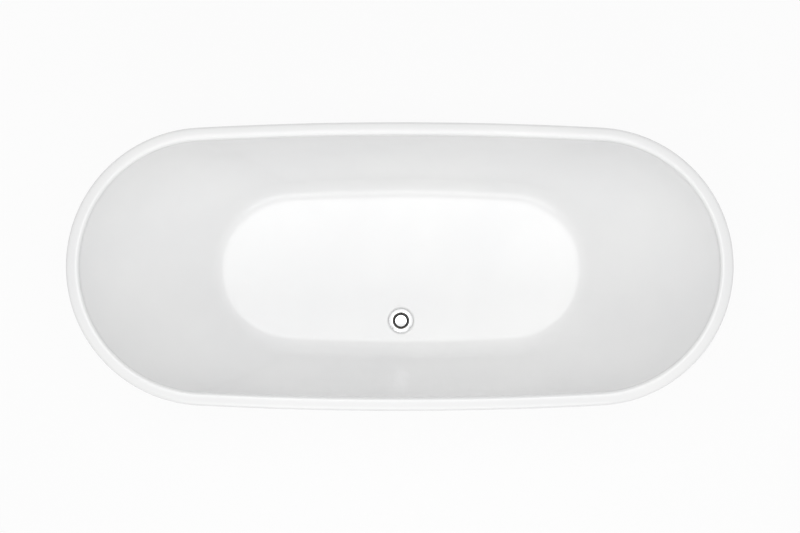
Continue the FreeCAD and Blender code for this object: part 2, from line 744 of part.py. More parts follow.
CARTRIDGE_HIGH = HOLDER_LOW - PLUG_TRAVEL - CARTRIDGE_STOP


def waste_body():
    """Flange, tapered throat, threaded body and tail, with a spider that holds the cartridge."""
    shell = turned(
        [
            (SEAT_RADIUS, TAIL_LOW),
            (TAIL_RADIUS, TAIL_LOW),
            (TAIL_RADIUS, TAIL_TOP),
            (BODY_RADIUS, TAIL_TOP),
            (BODY_RADIUS, RECESS_FLOOR),
            (FLANGE_UNDER_RADIUS, FLANGE_UNDERSIDE),
            (FLANGE_RADIUS, FLANGE_UNDERSIDE),
            (FLANGE_RADIUS, FLANGE_UNDERSIDE + FLANGE_EDGE),
            (FLANGE_SHOULDER_RADIUS, FLANGE_TOP),
            (THROAT_RADIUS, THROAT_TOP),
            (SEAT_RADIUS, SEAT_LEVEL),
        ],
        0,
        DRAIN_Y,
    )
    hub = cylinder(SPIDER_HUB_RADIUS, SPIDER_LOW, SPIDER_TOP, 0, DRAIN_Y)
    reach, half = SEAT_RADIUS + SPIDER_BITE, SPIDER_ARM / 2
    arms = []
    for index in range(SPIDER_ARM_COUNT):
        arm = block(0, reach, -half, half, SPIDER_LOW, SPIDER_TOP)
        arm.rotate(ORIGIN, UP, 360 * index / SPIDER_ARM_COUNT)
        arm.translate(Vector(0, DRAIN_Y, 0))
        arms.append(arm)
    return whole(shell.fuse([hub] + arms))


def flange_seal():
    """Rubber washer between the flange and the basin."""
    inner = FLANGE_UNDER_RADIUS + BODY_CLEARANCE
    return tube_ring(FLANGE_SEAL_RADIUS, inner, RECESS_FLOOR, FLANGE_UNDERSIDE, 0, DRAIN_Y)


def back_gasket():
    """Rubber gasket under the fibreglass."""
    return tube_ring(GASKET_RADIUS, BODY_RADIUS + BODY_CLEARANCE, GASKET_LOW, BASIN_UNDERSIDE, 0, DRAIN_Y)


def friction_washer():
    """Plastic washer between the gasket and the back nut."""
    return tube_ring(GASKET_RADIUS, BODY_RADIUS + BODY_CLEARANCE, WASHER_LOW, GASKET_LOW, 0, DRAIN_Y)


def back_nut():
    """Round nut with notches for a wrench."""
    nut = tube_ring(BACK_NUT_RADIUS, BODY_RADIUS + RUNNING_CLEARANCE, BACK_NUT_LOW, WASHER_LOW, 0, DRAIN_Y)
    for index in range(BACK_NUT_LUG_COUNT):
        notch = block(
            BACK_NUT_RADIUS - BACK_NUT_LUG_DEPTH,
            BACK_NUT_RADIUS + OVERRUN,
            -BACK_NUT_LUG_WIDTH / 2,
            BACK_NUT_LUG_WIDTH / 2,
            BACK_NUT_LOW - OVERRUN,
            WASHER_LOW + OVERRUN,
        )
        notch.rotate(ORIGIN, UP, 360 * index / BACK_NUT_LUG_COUNT)
        notch.translate(Vector(0, DRAIN_Y, 0))
        nut = nut.cut(notch)
    return whole(nut)


def plug_cap():
    """Shallow domed cap of the push plug."""
    high = CAP_LOW + CAP_EDGE
    dome = high + CAP_DOME
    flat = CAP_RADIUS - CAP_EDGE_ROUND
    bend = CAP_EDGE_ROUND * (1 - math.cos(math.pi / 4))
    rise = (flat**2 - CAP_DOME**2) / (2 * CAP_DOME)
    dome_radius = rise + CAP_DOME
    middle = flat / 2
    middle_height = dome - dome_radius + math.sqrt(dome_radius**2 - middle**2)
    return turned(
        [
            (0, CAP_LOW),
            (CAP_RADIUS, CAP_LOW),
            (CAP_RADIUS, high - CAP_EDGE_ROUND),
            ((CAP_RADIUS - bend, high - bend), (flat, high)),
            ((middle, middle_height), (0, dome)),
        ],
        0,
        DRAIN_Y,
    )


def plug_seal():
    """Rubber ring under the cap that closes on the throat."""
    inner = SEAL_HOLDER_RADIUS + BODY_CLEARANCE
    return tube_ring(SEAL_RADIUS, inner, SEAL_LOW, CAP_LOW, 0, DRAIN_Y)


def plug_stem():
    """Seal holder and stem, ending in a head that slides in the cartridge."""
    holder = cylinder(SEAL_HOLDER_RADIUS, SEAL_LOW, CAP_LOW, 0, DRAIN_Y)
    flange = cylinder(SEAL_HOLDER_FLANGE_RADIUS, HOLDER_LOW, SEAL_LOW, 0, DRAIN_Y)
    head_high = CARTRIDGE_HIGH - CARTRIDGE_TOP - CARTRIDGE_STOP
    head_low = head_high - STEM_HEAD_HEIGHT
    stem = cylinder(STEM_RADIUS, head_low, HOLDER_LOW, 0, DRAIN_Y)
    head = cylinder(STEM_HEAD_RADIUS, head_low, head_high, 0, DRAIN_Y)
    return whole(holder.fuse([flange, stem, head]))


def plug_cartridge():
    """Sleeve on the spider in which the plug's stem slides."""
    sleeve = cylinder(CARTRIDGE_RADIUS, SPIDER_TOP, CARTRIDGE_HIGH, 0, DRAIN_Y)
    low, high = SPIDER_TOP + CARTRIDGE_TOP, CARTRIDGE_HIGH - CARTRIDGE_TOP
    sleeve = sleeve.cut(cylinder(CARTRIDGE_BORE, low, high, 0, DRAIN_Y))
    stem_hole = cylinder(STEM_RADIUS + RUNNING_CLEARANCE, high, CARTRIDGE_HIGH + OVERRUN, 0, DRAIN_Y)
    return whole(sleeve.cut(stem_hole))


def plug_spring():
    """Coil spring between the cartridge's floor and the stem's head."""
    low = SPIDER_TOP + CARTRIDGE_TOP + SPRING_WIRE + SPRING_CLEARANCE
    head_low = CARTRIDGE_HIGH - CARTRIDGE_TOP - CARTRIDGE_STOP - STEM_HEAD_HEIGHT
    height = head_low - SPRING_WIRE - SPRING_CLEARANCE - low
    helix = Part.makeHelix(height / SPRING_TURNS, height, SPRING_COIL_RADIUS)
    path = Part.Wire(helix.Edges)
    section = Part.makeCircle(SPRING_WIRE, Vector(SPRING_COIL_RADIUS, 0, 0), Vector(0, 1, 0))
    coil = path.makePipeShell([Part.Wire(section)], True, True)
    coil.translate(Vector(0, DRAIN_Y, low))
    return coil


# Output

def parts():
    """Every named piece of the bath."""
    pieces = {
        "basin_shell": basin_shell(),
        "basin_fibreglass": basin_fibreglass(),
        "skirt_shell": skirt_shell(),
        "skirt_fibreglass": skirt_fibreglass(),
        "rim_adhesive": rim_adhesive(),
        "base_board": base_board(),
        "front_rail": rail(-1),
        "back_rail": rail(1),
        "head_cross_bar": cross_bar(-1),
        "foot_cross_bar": cross_bar(1),
        "centre_cross_bar": centre_cross_bar(),
        "tube_end_caps": tube_end_caps(),
        "board_screws": board_screws(),
        "skirt_brackets": skirt_brackets(),
        "block_screws": block_screws(),
        "bar_screws": bar_screws(),
        "weld_nuts": foot_nuts(TUBE_UNDERSIDE - WELD_NUT_HEIGHT, WELD_NUT_HEIGHT),
        "lock_nuts": foot_nuts(TUBE_UNDERSIDE - WELD_NUT_HEIGHT - LOCK_NUT_HEIGHT, LOCK_NUT_HEIGHT),
        "waste_body": waste_body(),
        "flange_seal": flange_seal(),
        "back_gasket": back_gasket(),
        "friction_washer": friction_washer(),
        "back_nut": back_nut(),
        "plug_cap": plug_cap(),
        "plug_seal": plug_seal(),
        "plug_stem": plug_stem(),
        "plug_cartridge": plug_cartridge(),
        "plug_spring": plug_spring(),
    }
    for index, (end, side) in enumerate(CORNERS):
        pieces[f"skirt_block_{index + 1}"] = skirt_block(end, side)
    for index, (x, y) in enumerate(FOOT_PLACES):
        pieces[f"foot_pad_{index + 1}"] = foot_pad(x, y)
        pieces[f"foot_bolt_{index + 1}"] = foot_bolt(x, y)
    return pieces


os.makedirs("parts", exist_ok=True)
for name, shape in parts().items():
    shape.exportStep(f"parts/{name}.step")
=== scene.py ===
"""Looks of a freestanding oval bathtub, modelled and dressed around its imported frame.

Metres, in the frame's own axes: +X along the bath, +Z up, the waste on the -Y side.
"""

import json
import logging
import math
from dataclasses import dataclass, field
from enum import Enum
from functools import reduce
from typing import Callable, ClassVar, Sequence, Union

import bmesh
import bpy
from mathutils import Matrix, Vector


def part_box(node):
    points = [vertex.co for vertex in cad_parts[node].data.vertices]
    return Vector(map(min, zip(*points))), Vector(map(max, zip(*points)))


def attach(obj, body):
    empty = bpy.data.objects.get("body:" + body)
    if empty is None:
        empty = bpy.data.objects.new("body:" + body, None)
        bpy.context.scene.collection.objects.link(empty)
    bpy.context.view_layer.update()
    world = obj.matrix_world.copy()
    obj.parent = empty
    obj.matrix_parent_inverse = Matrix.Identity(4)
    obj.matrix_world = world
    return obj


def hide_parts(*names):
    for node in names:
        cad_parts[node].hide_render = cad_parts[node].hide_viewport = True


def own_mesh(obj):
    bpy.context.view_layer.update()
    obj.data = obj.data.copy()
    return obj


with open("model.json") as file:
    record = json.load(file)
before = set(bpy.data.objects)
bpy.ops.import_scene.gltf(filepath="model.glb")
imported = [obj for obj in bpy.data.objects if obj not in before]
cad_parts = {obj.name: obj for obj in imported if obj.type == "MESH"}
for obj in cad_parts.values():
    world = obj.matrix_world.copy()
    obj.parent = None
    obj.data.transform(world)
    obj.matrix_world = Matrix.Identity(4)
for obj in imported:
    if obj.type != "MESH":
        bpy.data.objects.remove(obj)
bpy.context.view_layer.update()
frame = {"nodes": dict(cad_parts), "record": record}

LOG = logging.getLogger("bathtub")
ORIGIN = Vector((0.0, 0.0, 0.0))
UP = Vector((0.0, 0.0, 1.0))
QUARTER = math.pi / 2
SIXTH = math.pi / 3
MERGE = 1e-6  # places of a turned solid closer than this are one
WELD = 1e-5  # so are those of a thread or of a copied CAD shape
SEAM = 1e-4  # and the ends of an outline's arcs
TUB = "tub"
PLUG = "plug"
FEET = range(1, 6)
SIDE_BOW = 0.0133  # half width of the rim less the radius of its end arcs
OUTLINE_STEPS = 72  # edges per arc of a moulding's outline

Triple = tuple[float, float, float]
Colour = Triple
Corner = tuple[float, ...]  # radius and level of a turned section's corner, and any rounding
Mesh = bmesh.types.BMesh
Edge = bmesh.types.BMEdge
Socket = bpy.types.NodeSocket


class Slot(Enum):
    """Material slots of the record."""

    WHITE_ACRYLIC = "white_acrylic"
    FIBREGLASS = "fibreglass"
    ADHESIVE = "adhesive"
    PLYWOOD = "plywood"
    TIMBER = "timber"
    GALVANISED_STEEL = "galvanised_steel"
    ZINC_STEEL = "zinc_steel"
    CHROME = "chrome"
    BLACK_RUBBER = "black_rubber"
    BLACK_PLASTIC = "black_plastic"
    WHITE_PLASTIC = "white_plastic"
    BRASS = "brass"
    SPRING_STEEL = "spring_steel"


SLOT_OF = {part["node"]: Slot(part["material_slot"]) for part in frame["record"]["subparts"]}
Paints = dict[Slot, bpy.types.Material]


# Shader kit


class Field:
    """A number that varies over a surface; Python arithmetic on it adds Math nodes."""

    def __init__(self, nodes: "Nodes", socket: Socket) -> None:
        """Wraps an output socket of a node tree."""
        self.nodes = nodes
        self.socket = socket

    def _math(self, operation: str, first: "Operand", second: "Operand" = 0.0) -> "Field":
        """Result of one Math node."""
        return self.nodes.field("ShaderNodeMath", {"operation": operation}, {0: first, 1: second})

    def __add__(self, other: "Operand") -> "Field":
        """Sum."""
        return self._math("ADD", self, other)

    def __radd__(self, other: "Operand") -> "Field":
        """Sum with a number on the left."""
        return self._math("ADD", other, self)

    def __sub__(self, other: "Operand") -> "Field":
        """Difference."""
        return self._math("SUBTRACT", self, other)

    def __rsub__(self, other: "Operand") -> "Field":
        """Difference with a number on the left."""
        return self._math("SUBTRACT", other, self)

    def __mul__(self, other: "Operand") -> "Field":
        """Product."""
        return self._math("MULTIPLY", self, other)

    def __rmul__(self, other: "Operand") -> "Field":
        """Product with a number on the left."""
        return self._math("MULTIPLY", other, self)

    def __pow__(self, other: "Operand") -> "Field":
        """Power."""
        return self._math("POWER", self, other)

    def __abs__(self) -> "Field":
        """Size without sign."""
        return self._math("ABSOLUTE", self)

    def over(self, other: "Operand") -> "Field":
        """One where the number is above another, else zero."""
        return self._math("GREATER_THAN", self, other)

    def fraction(self) -> "Field":
        """Part after the decimal point."""
        return self._math("FRACT", self)

    def most(self, other: "Operand") -> "Field":
        """The larger of two."""
        return self._math("MAXIMUM", self, other)

    def between(self, low: float, high: float) -> "Field":
        """Smooth step from zero at low to one at high."""
        sockets = {"Value": self, "From Min": low, "From Max": high}
        return self.nodes.field("ShaderNodeMapRange", {"interpolation_type": "SMOOTHSTEP"}, sockets)


Operand = Union[Field, float]
Input = Union[Field, Socket, float, Sequence[float]]


class Nodes:
    """Node tree of a material or of the sky."""

    SHOWING_RAYS = ("Is Camera Ray", "Is Glossy Ray", "Is Transmission Ray")

    def __init__(self, owner: Union[bpy.types.Material, bpy.types.World]) -> None:
        """Starts the owner's tree."""
        owner.use_nodes = True
        self.tree = owner.node_tree

    def feed(self, socket: Socket, value: Input) -> None:
        """Links or sets one input socket.

        Args:
            socket: Input to fill.
            value: A field or socket to link, or a constant.
        """
        source = value.socket if isinstance(value, Field) else value
        if isinstance(source, Socket):
            self.tree.links.new(source, socket)
        else:
            socket.default_value = source

    def node(
        self, kind: str, settings: dict | None = None, sockets: dict | None = None
    ) -> bpy.types.Node:
        """Adds a node.

        Args:
            kind: Node type.
            settings: Properties of the node, set first.
            sockets: Values or links of its inputs, by name or index.

        Returns:
            The new node.
        """
        made = self.tree.nodes.new(kind)
        for key, value in (settings or {}).items():
            setattr(made, key, value)
        for key, value in (sockets or {}).items():
            self.feed(made.inputs[key], value)
        return made

    def field(
        self, kind: str, settings: dict, sockets: dict, output: Union[int, str] = 0
    ) -> Field:
        """One output of a new node, as a number."""
        return Field(self, self.node(kind, settings, sockets).outputs[output])

    def background_rays(self) -> Field:
        """One for rays that show the background, straight, mirrored or through something."""
        rays = self.node("ShaderNodeLightPath").outputs
        return reduce(Field.most, [Field(self, rays[name]) for name in self.SHOWING_RAYS])

    def show(self, output: str, share: Field, first: Socket, second: Socket) -> None:
        """Sends a blend of two shaders, the first at a share of zero, to the output."""
        mix = self.node("ShaderNodeMixShader", None, {0: share, 1: first, 2: second})
        self.feed(self.tree.nodes[output].inputs["Surface"], mix.outputs[0])


class Shader(Nodes):
    """Node tree of one material around its Principled shader."""

    MIX_INPUTS = (0, 6, 7)  # share and two colours of a Mix node
    MIX_RESULT = 2

    def __init__(self, name: str) -> None:
        """Starts a material with nodes.

        Args:
            name: Name of the material.
        """
        self.material = bpy.data.materials.new(name)
        super().__init__(self.material)
        self.surface = self.tree.nodes["Principled BSDF"]

    def set(self, **sockets: Input) -> None:
        """Fills inputs of the Principled shader, named with underscores for spaces."""
        for name, value in sockets.items():
            self.feed(self.surface.inputs[name.replace("_", " ")], value)

    def place(self, scale: Triple = (1, 1, 1), turn: Triple = (0, 0, 0)) -> Socket:
        """Object coordinates, stretched and turned.

        Args:
            scale: Factor along each axis.
            turn: Rotation about each axis, in radians.

        Returns:
            The mapped coordinates.
        """
        source = self.node("ShaderNodeTexCoord").outputs["Object"]
        sockets = {"Vector": source, "Scale": scale, "Rotation": turn}
        return self.node("ShaderNodeMapping", None, sockets).outputs["Vector"]

    def split(self, vector: Socket) -> tuple[Field, Field, Field]:
        """The three numbers of a vector."""
        outputs = self.node("ShaderNodeSeparateXYZ", None, {"Vector": vector}).outputs
        return Field(self, outputs[0]), Field(self, outputs[1]), Field(self, outputs[2])

    def normal(self) -> tuple[Field, Field, Field]:
        """The surface's direction."""
        return self.split(self.node("ShaderNodeNewGeometry").outputs["Normal"])

    def cells(self, scale: float) -> tuple[Field, Field]:
        """Random cells.

        Args:
            scale: Cells per metre.

        Returns:
            A random number per cell, and the distance from the cell's middle.
        """
        sockets = {"Vector": self.place(), "Scale": scale}
        outputs = self.node("ShaderNodeTexVoronoi", None, sockets).outputs
        return self.split(outputs["Color"])[0], Field(self, outputs["Distance"])

    def mix(self, share: Operand, first: Input, second: Input) -> Socket:
        """Blend of two colours.

        Args:
            share: How much of the second.
            first: Colour at zero.
            second: Colour at one.

        Returns:
            The blended colour.
        """
        pair = [(*c, 1.0) if isinstance(c, tuple) else c for c in (first, second)]
        sockets = dict(zip(self.MIX_INPUTS, (share, *pair)))
        return self.node("ShaderNodeMix", {"data_type": "RGBA"}, sockets).outputs[self.MIX_RESULT]

    def bump(self, height: Field, depth: float) -> None:
        """Raises the surface by a height of zero to one times a depth in metres."""
        sockets = {"Strength": 1.0, "Distance": depth, "Height": height}
        self.set(Normal=self.node("ShaderNodeBump", None, sockets).outputs["Normal"])


@dataclass(frozen=True)
class Grain:
    """Smooth noise over a surface, from about 0.3 to 0.7."""

    MIDDLE: ClassVar[float] = 0.5

    scale: float  # waves per metre
    detail: float = 2.0  # octaves
    warp: float = 0.0
    stretch: Triple = (1.0, 1.0, 1.0)

    def on(self, shader: Shader, turn: float = 0.0) -> Field:
        """The noise on one material.

        Args:
            shader: Nodes of the material.
            turn: Angle of the noise about each axis.

        Returns:
            The noise.
        """
        place = shader.place(self.stretch, (turn, turn, turn))
        sockets = {"Vector": place, "Scale": self.scale}
        sockets |= {"Detail": self.detail, "Distortion": self.warp}
        return shader.field("ShaderNodeTexNoise", {}, sockets, "Fac")


# Finishes


class Finish:
    """A procedural finish for one material slot."""

    def paint(self, shader: Shader) -> None:
        """Fills the shader of one material."""
        raise NotImplementedError


@dataclass(frozen=True)
class Acrylic(Finish):
    """Cast sanitary acrylic: white and glossy, with faint clouds, wiped marks and a ripple."""

    pale: Colour = (0.900, 0.901, 0.898)
    deep: Colour = (0.868, 0.870, 0.872)
    clouds: Grain = Grain(2.6, 3.0)
    cloud_edges: tuple[float, float] = (0.3, 0.7)
    wipes: Grain = Grain(16.0, 5.0, 0.6, (0.35, 1.0, 1.0))
    ripple: Grain = Grain(22.0, 1.0)
    ripple_depth: float = 0.00004
    roughness: float = 0.17
    wiped: float = 0.06
    ior: float = 1.49

    def paint(self, shader: Shader) -> None:
        """Fills the shader of a new material.

        Args:
            shader: Nodes of the material.
        """
        clouds = self.clouds.on(shader).between(*self.cloud_edges)
        shader.set(Base_Color=shader.mix(clouds, self.deep, self.pale), IOR=self.ior)
        shader.set(Roughness=self.roughness + self.wipes.on(shader) * self.wiped)
        shader.bump(self.ripple.on(shader), self.ripple_depth)


@dataclass(frozen=True)
class Fibreglass(Finish):
    """Sprayed glass strands in yellowish resin, coarse to the touch."""

    resin: Colour = (0.60, 0.55, 0.40)
    strand: Colour = (0.82, 0.80, 0.71)
    strands: Grain = Grain(26.0, 1.0, stretch=(1.0, 15.0, 15.0))
    strand_edges: tuple[float, float] = (0.56, 0.64)
    layer_turns: tuple[float, ...] = (0.2, 1.3, 2.4)
    shine_through: float = 0.25  # share of the strands' colour in plain resin
    strand_share: float = 0.6
    strand_height: float = 0.5
    lumps: Grain = Grain(38.0, 4.0)
    roughness: float = 0.32
    lump_roughness: float = 0.35
    ior: float = 1.55
    depth: float = 0.0007

    def paint(self, shader: Shader) -> None:
        """Fills the shader of a new material.

        Args:
            shader: Nodes of the material.
        """
        layers = [self.strands.on(shader, turn) for turn in self.layer_turns]
        strands = reduce(Field.most, [layer.between(*self.strand_edges) for layer in layers])
        lumps = self.lumps.on(shader)
        share = self.shine_through + strands * self.strand_share
        shader.set(Base_Color=shader.mix(share, self.resin, self.strand), IOR=self.ior)
        shader.set(Roughness=self.roughness + lumps * self.lump_roughness)
        shader.bump(strands * self.strand_height + lumps, self.depth)


@dataclass(frozen=True)
class Plywood(Finish):
    """Birch plywood with grain on its faces and plies along its edges."""

    pale: Colour = (0.72, 0.56, 0.37)
    dark: Colour = (0.50, 0.33, 0.18)
    grain: Grain = Grain(9.0, 6.0, 1.2, (1.0, 14.0, 14.0))
    grain_edges: tuple[float, float] = (0.35, 0.68)
    fibre: Grain = Grain(4.0, 3.0, stretch=(60.0, 60.0, 300.0))
    plies_per_metre: float = 600.0
    dark_ply: float = 0.5  # share of each pair of plies that is pale
    ply_share: float = 0.7
    fibre_share: float = 0.3
    level_edges: tuple[float, float] = (0.4, 0.8)  # slopes between an edge and a face
    roughness: float = 0.55
    grain_roughness: float = 0.2
    depth: float = 0.00018

    def paint(self, shader: Shader) -> None:
        """Fills the shader of a new material.

        Args:
            shader: Nodes of the material.
        """
        grain = self.grain.on(shader)
        height = shader.split(shader.place())[2]
        plies = (height * self.plies_per_metre).fraction().over(self.dark_ply)
        layers = plies * self.ply_share + self.fibre.on(shader) * self.fibre_share
        face = shader.mix(grain.between(*self.grain_edges), self.pale, self.dark)
        edge = shader.mix(layers, self.pale, self.dark)
        level = abs(shader.normal()[2]).between(*self.level_edges)
        shader.set(Base_Color=shader.mix(level, edge, face))
        shader.set(Roughness=self.roughness + grain * self.grain_roughness)
        shader.bump(grain * level + plies * (1.0 - level), self.depth)


@dataclass(frozen=True)
class Timber(Finish):
    """Planed softwood with growth rings along the bath."""

    early: Colour = (0.78, 0.60, 0.36)
    late: Colour = (0.55, 0.33, 0.14)
    fibre: Grain = Grain(6.0, 5.0, 0.4, (1.2, 20.0, 20.0))
    bend: Grain = Grain(12.0, stretch=(0.4, 1.0, 1.0))
    rings_per_metre: float = 260.0
    wander: float = 2.5
    late_edges: tuple[float, float] = (0.35, 0.95)
    late_share: float = 0.6
    fibre_share: float = 0.3
    roughness: float = 0.5
    fibre_roughness: float = 0.3
    fibre_height: float = 0.6
    late_height: float = 0.4
    depth: float = 0.0002

    def paint(self, shader: Shader) -> None:
        """Fills the shader of a new material.

        Args:
            shader: Nodes of the material.
        """
        _, across, height = shader.split(shader.place())
        radius = (across * across + height * height) ** 0.5
        bend = self.bend.on(shader) * self.wander
        late = (radius * self.rings_per_metre + bend).fraction().between(*self.late_edges)
        fibre = self.fibre.on(shader)
        share = late * self.late_share + fibre * self.fibre_share
        shader.set(Base_Color=shader.mix(share, self.early, self.late))
        shader.set(Roughness=self.roughness + fibre * self.fibre_roughness)
        shader.bump(fibre * self.fibre_height + late * self.late_height, self.depth)


@dataclass(frozen=True)
class Galvanised(Finish):
    """Hot-dipped steel with a spangle of crystals and dull streaks."""

    bright: Colour = (0.66, 0.68, 0.70)
    dull: Colour = (0.42, 0.44, 0.46)
    spangle_scale: float = 130.0
    streaks: Grain = Grain(25.0, 4.0, 0.5)
    crystal_share: float = 0.65
    streak_share: float = 0.35
    roughness: float = 0.28
    crystal_roughness: float = 0.18
    streak_roughness: float = 0.1
    crystal_height: float = 0.5
    depth: float = 0.00006

    def paint(self, shader: Shader) -> None:
        """Fills the shader of a new material.

        Args:
            shader: Nodes of the material.
        """
        crystal, middle = shader.cells(self.spangle_scale)
        streak = self.streaks.on(shader)
        shade = crystal * self.crystal_share + streak * self.streak_share
        rough = self.roughness + crystal * self.crystal_roughness
        shader.set(Base_Color=shader.mix(shade, self.dull, self.bright), Metallic=1.0)
        shader.set(Roughness=rough + streak * self.streak_roughness)
        shader.bump(crystal * self.crystal_height + middle, self.depth)


@dataclass(frozen=True)
class Plated(Finish):
    """Polished or plated metal with smudges and fine turning marks."""

    bright: Colour
    stain: Colour
    roughness: float
    smudged: float  # roughness that a smudge adds
    smudges: Grain = Grain(60.0, 5.0, 0.8)
    smudge_edges: tuple[float, float] = (0.35, 0.75)
    marks: Grain = Grain(900.0, stretch=(0.05, 0.05, 1.0))
    mark_depth: float = 0.000004

    def paint(self, shader: Shader) -> None:
        """Fills the shader of a new material.

        Args:
            shader: Nodes of the material.
        """
        smudge = self.smudges.on(shader).between(*self.smudge_edges)
        shader.set(Base_Color=shader.mix(smudge, self.bright, self.stain), Metallic=1.0)
        shader.set(Roughness=self.roughness + smudge * self.smudged)
        shader.bump(self.marks.on(shader), self.mark_depth)


@dataclass(frozen=True)
class Moulded(Finish):
    """Moulded rubber, plastic or cured paste with a fine grain."""

    dark: Colour
    pale: Colour
    roughness: float
    grain: Grain = Grain(1400.0)
    grain_depth: float = 0.00003
    gloss: float = 0.5
    patches: Grain = Grain(35.0, 4.0)
    patch_edges: tuple[float, float] = (0.3, 0.7)
    grain_roughness: float = 0.15
    patch_roughness: float = 0.2

    def paint(self, shader: Shader) -> None:
        """Fills the shader of a new material.

        Args:
            shader: Nodes of the material.
        """
        patch, grain = self.patches.on(shader), self.grain.on(shader)
        colour = shader.mix(patch.between(*self.patch_edges), self.dark, self.pale)
        rough = self.roughness + (grain - Grain.MIDDLE) * self.grain_roughness
        rough += (patch - Grain.MIDDLE) * self.patch_roughness
        shader.set(Base_Color=colour, Roughness=rough, Specular_IOR_Level=self.gloss)
        shader.bump(grain, self.grain_depth)


FINISHES: dict[Slot, Finish] = {
    Slot.WHITE_ACRYLIC: Acrylic(),
    Slot.FIBREGLASS: Fibreglass(),
    Slot.ADHESIVE: Moulded((0.62, 0.62, 0.60), (0.74, 0.74, 0.71), 0.55, Grain(260.0), 0.0003),
    Slot.PLYWOOD: Plywood(),
    Slot.TIMBER: Timber(),
    Slot.GALVANISED_STEEL: Galvanised(),
    Slot.ZINC_STEEL: Plated((0.72, 0.73, 0.75), (0.58, 0.57, 0.50), 0.22, 0.2),
    Slot.CHROME: Plated((0.93, 0.935, 0.94), (0.88, 0.885, 0.89), 0.08, 0.08),
    Slot.BLACK_RUBBER: Moulded((0.010, 0.010, 0.011), (0.018, 0.018, 0.019), 0.55, gloss=0.2),
    Slot.BLACK_PLASTIC: Moulded((0.018, 0.018, 0.019), (0.030, 0.030, 0.031), 0.42),
    Slot.WHITE_PLASTIC: Moulded((0.74, 0.74, 0.73), (0.82, 0.82, 0.81), 0.38),
    Slot.BRASS: Plated((0.80, 0.60, 0.28), (0.62, 0.42, 0.18), 0.2, 0.25),
    Slot.SPRING_STEEL: Plated((0.60, 0.61, 0.62), (0.45, 0.45, 0.45), 0.25, 0.15),
}


def mix_paints() -> Paints:
    """Makes the material of each slot.

    Returns:
        The materials by slot.
    """
    paints = {}
    for slot, finish in FINISHES.items():
        shader = Shader(slot.value)
        finish.paint(shader)
        paints[slot] = shader.material
    return paints


def dress_nodes(paints: Paints) -> None:
    """Paints every CAD node with its slot's material.

    Args:
        paints: Material of each slot.
    """
    for node, slot in SLOT_OF.items():
        held = frame["nodes"][node].material_slots
        for each in held:
            each.material = paints[slot]
        if not held:
            frame["nodes"][node].data.materials.append(paints[slot])


# Places of the CAD nodes


def moved(x: float = 0.0, y: float = 0.0, z: float = 0.0) -> Matrix:
    """Matrix of a plain shift."""
    return Matrix.Translation((x, y, z))


def axis_of(node: str) -> Matrix:
    """Shift from the origin to the upright axis of a round CAD node."""
    low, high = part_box(node)
    return moved((low.x + high.x) / 2, (low.y + high.y) / 2)


def radius_of(node: str) -> float:
    """Radius of a round CAD node."""
    low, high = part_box(node)
    return (high.x - low.x) / 2


def levels_of(node: str) -> tuple[float, float]:
    """Lowest and highest level of a CAD node."""
    low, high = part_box(node)
    return low.z, high.z


# Mesh kit


def everything(bm: Mesh) -> list:
    """Every vertex, edge and face of a mesh."""
    return [*bm.verts, *bm.edges, *bm.faces]


def vertices(geom: list) -> list[bmesh.types.BMVert]:
    """The vertices among what an operator gave back."""
    return [each for each in geom if isinstance(each, bmesh.types.BMVert)]


def open_edges(bm: Mesh) -> list[Edge]:
    """Edges at which a mesh ends."""
    return [edge for edge in bm.edges if edge.is_boundary]


def sweep(
    bm: Mesh,
    geom: list,
    steps: int,
    angle: float = math.tau,
    centre: Vector = ORIGIN,
    lift: Vector = ORIGIN,
    merge: bool = False,
) -> None:
    """Spins geometry about an upright line.

    Args:
        bm: Mesh.
        geom: What to spin.
        steps: Steps of the spin.
        angle: Angle of the whole spin.
        centre: A place on the line.
        lift: Rise at each step.
        merge: Whether the last step meets the first.
    """
    bmesh.ops.spin(
        bm,
        geom=geom,
        cent=centre,
        axis=UP,
        dvec=lift,
        angle=angle,
        steps=steps,
        use_merge=merge,
    )


def round_off(
    bm: Mesh, geom: list, width: float, steps: int, affect: str = "EDGES", clamp: bool = False
) -> None:
    """Rounds edges or corners.

    Args:
        bm: Mesh.
        geom: Edges or corners.
        width: Width of the rounding.
        steps: Facets across it.
        affect: What is rounded, EDGES or VERTICES.
        clamp: Whether neighbouring roundings stop where they meet.
    """
    bmesh.ops.bevel(
        bm,
        geom=geom,
        offset=width,
        segments=steps,
        profile=0.5,
        affect=affect,
        clamp_overlap=clamp,
        material=-1,
    )


def face_outwards(bm: Mesh, test: Callable[[], float] = lambda: 1.0) -> None:
    """Makes the faces agree, and turns them all round where a test then fails.

    Args:
        bm: Mesh.
        test: Gives a number below zero for a mesh that is inside out.
    """
    bmesh.ops.recalc_face_normals(bm, faces=bm.faces[:])
    if test() < 0:
        bmesh.ops.reverse_faces(bm, faces=bm.faces[:])


def arc(
    centre: tuple[float, float], radius: float, start: float, stop: float, steps: int
) -> list[tuple[float, float]]:
    """Offsets and levels along an arc of a section, without its first place."""
    angles = [start + (stop - start) * (index + 1) / steps for index in range(steps)]
    return [(centre[0] + radius * math.cos(a), centre[1] + radius * math.sin(a)) for a in angles]


def extend(bm: Mesh, loop: list[Edge], move: Callable[[Vector], Vector]) -> list[Edge]:
    """Extrudes a loop of edges and moves the new loop.

    Args:
        bm: Mesh.
        loop: Edges to extrude.
        move: Gives the new place of each extruded point.

    Returns:
        The new loop.
    """
    made = bmesh.ops.extrude_edge_only(bm, edges=loop)["geom"]
    for vert in vertices(made):
        vert.co = move(vert.co)
    return [edge for edge in made if isinstance(edge, Edge)]


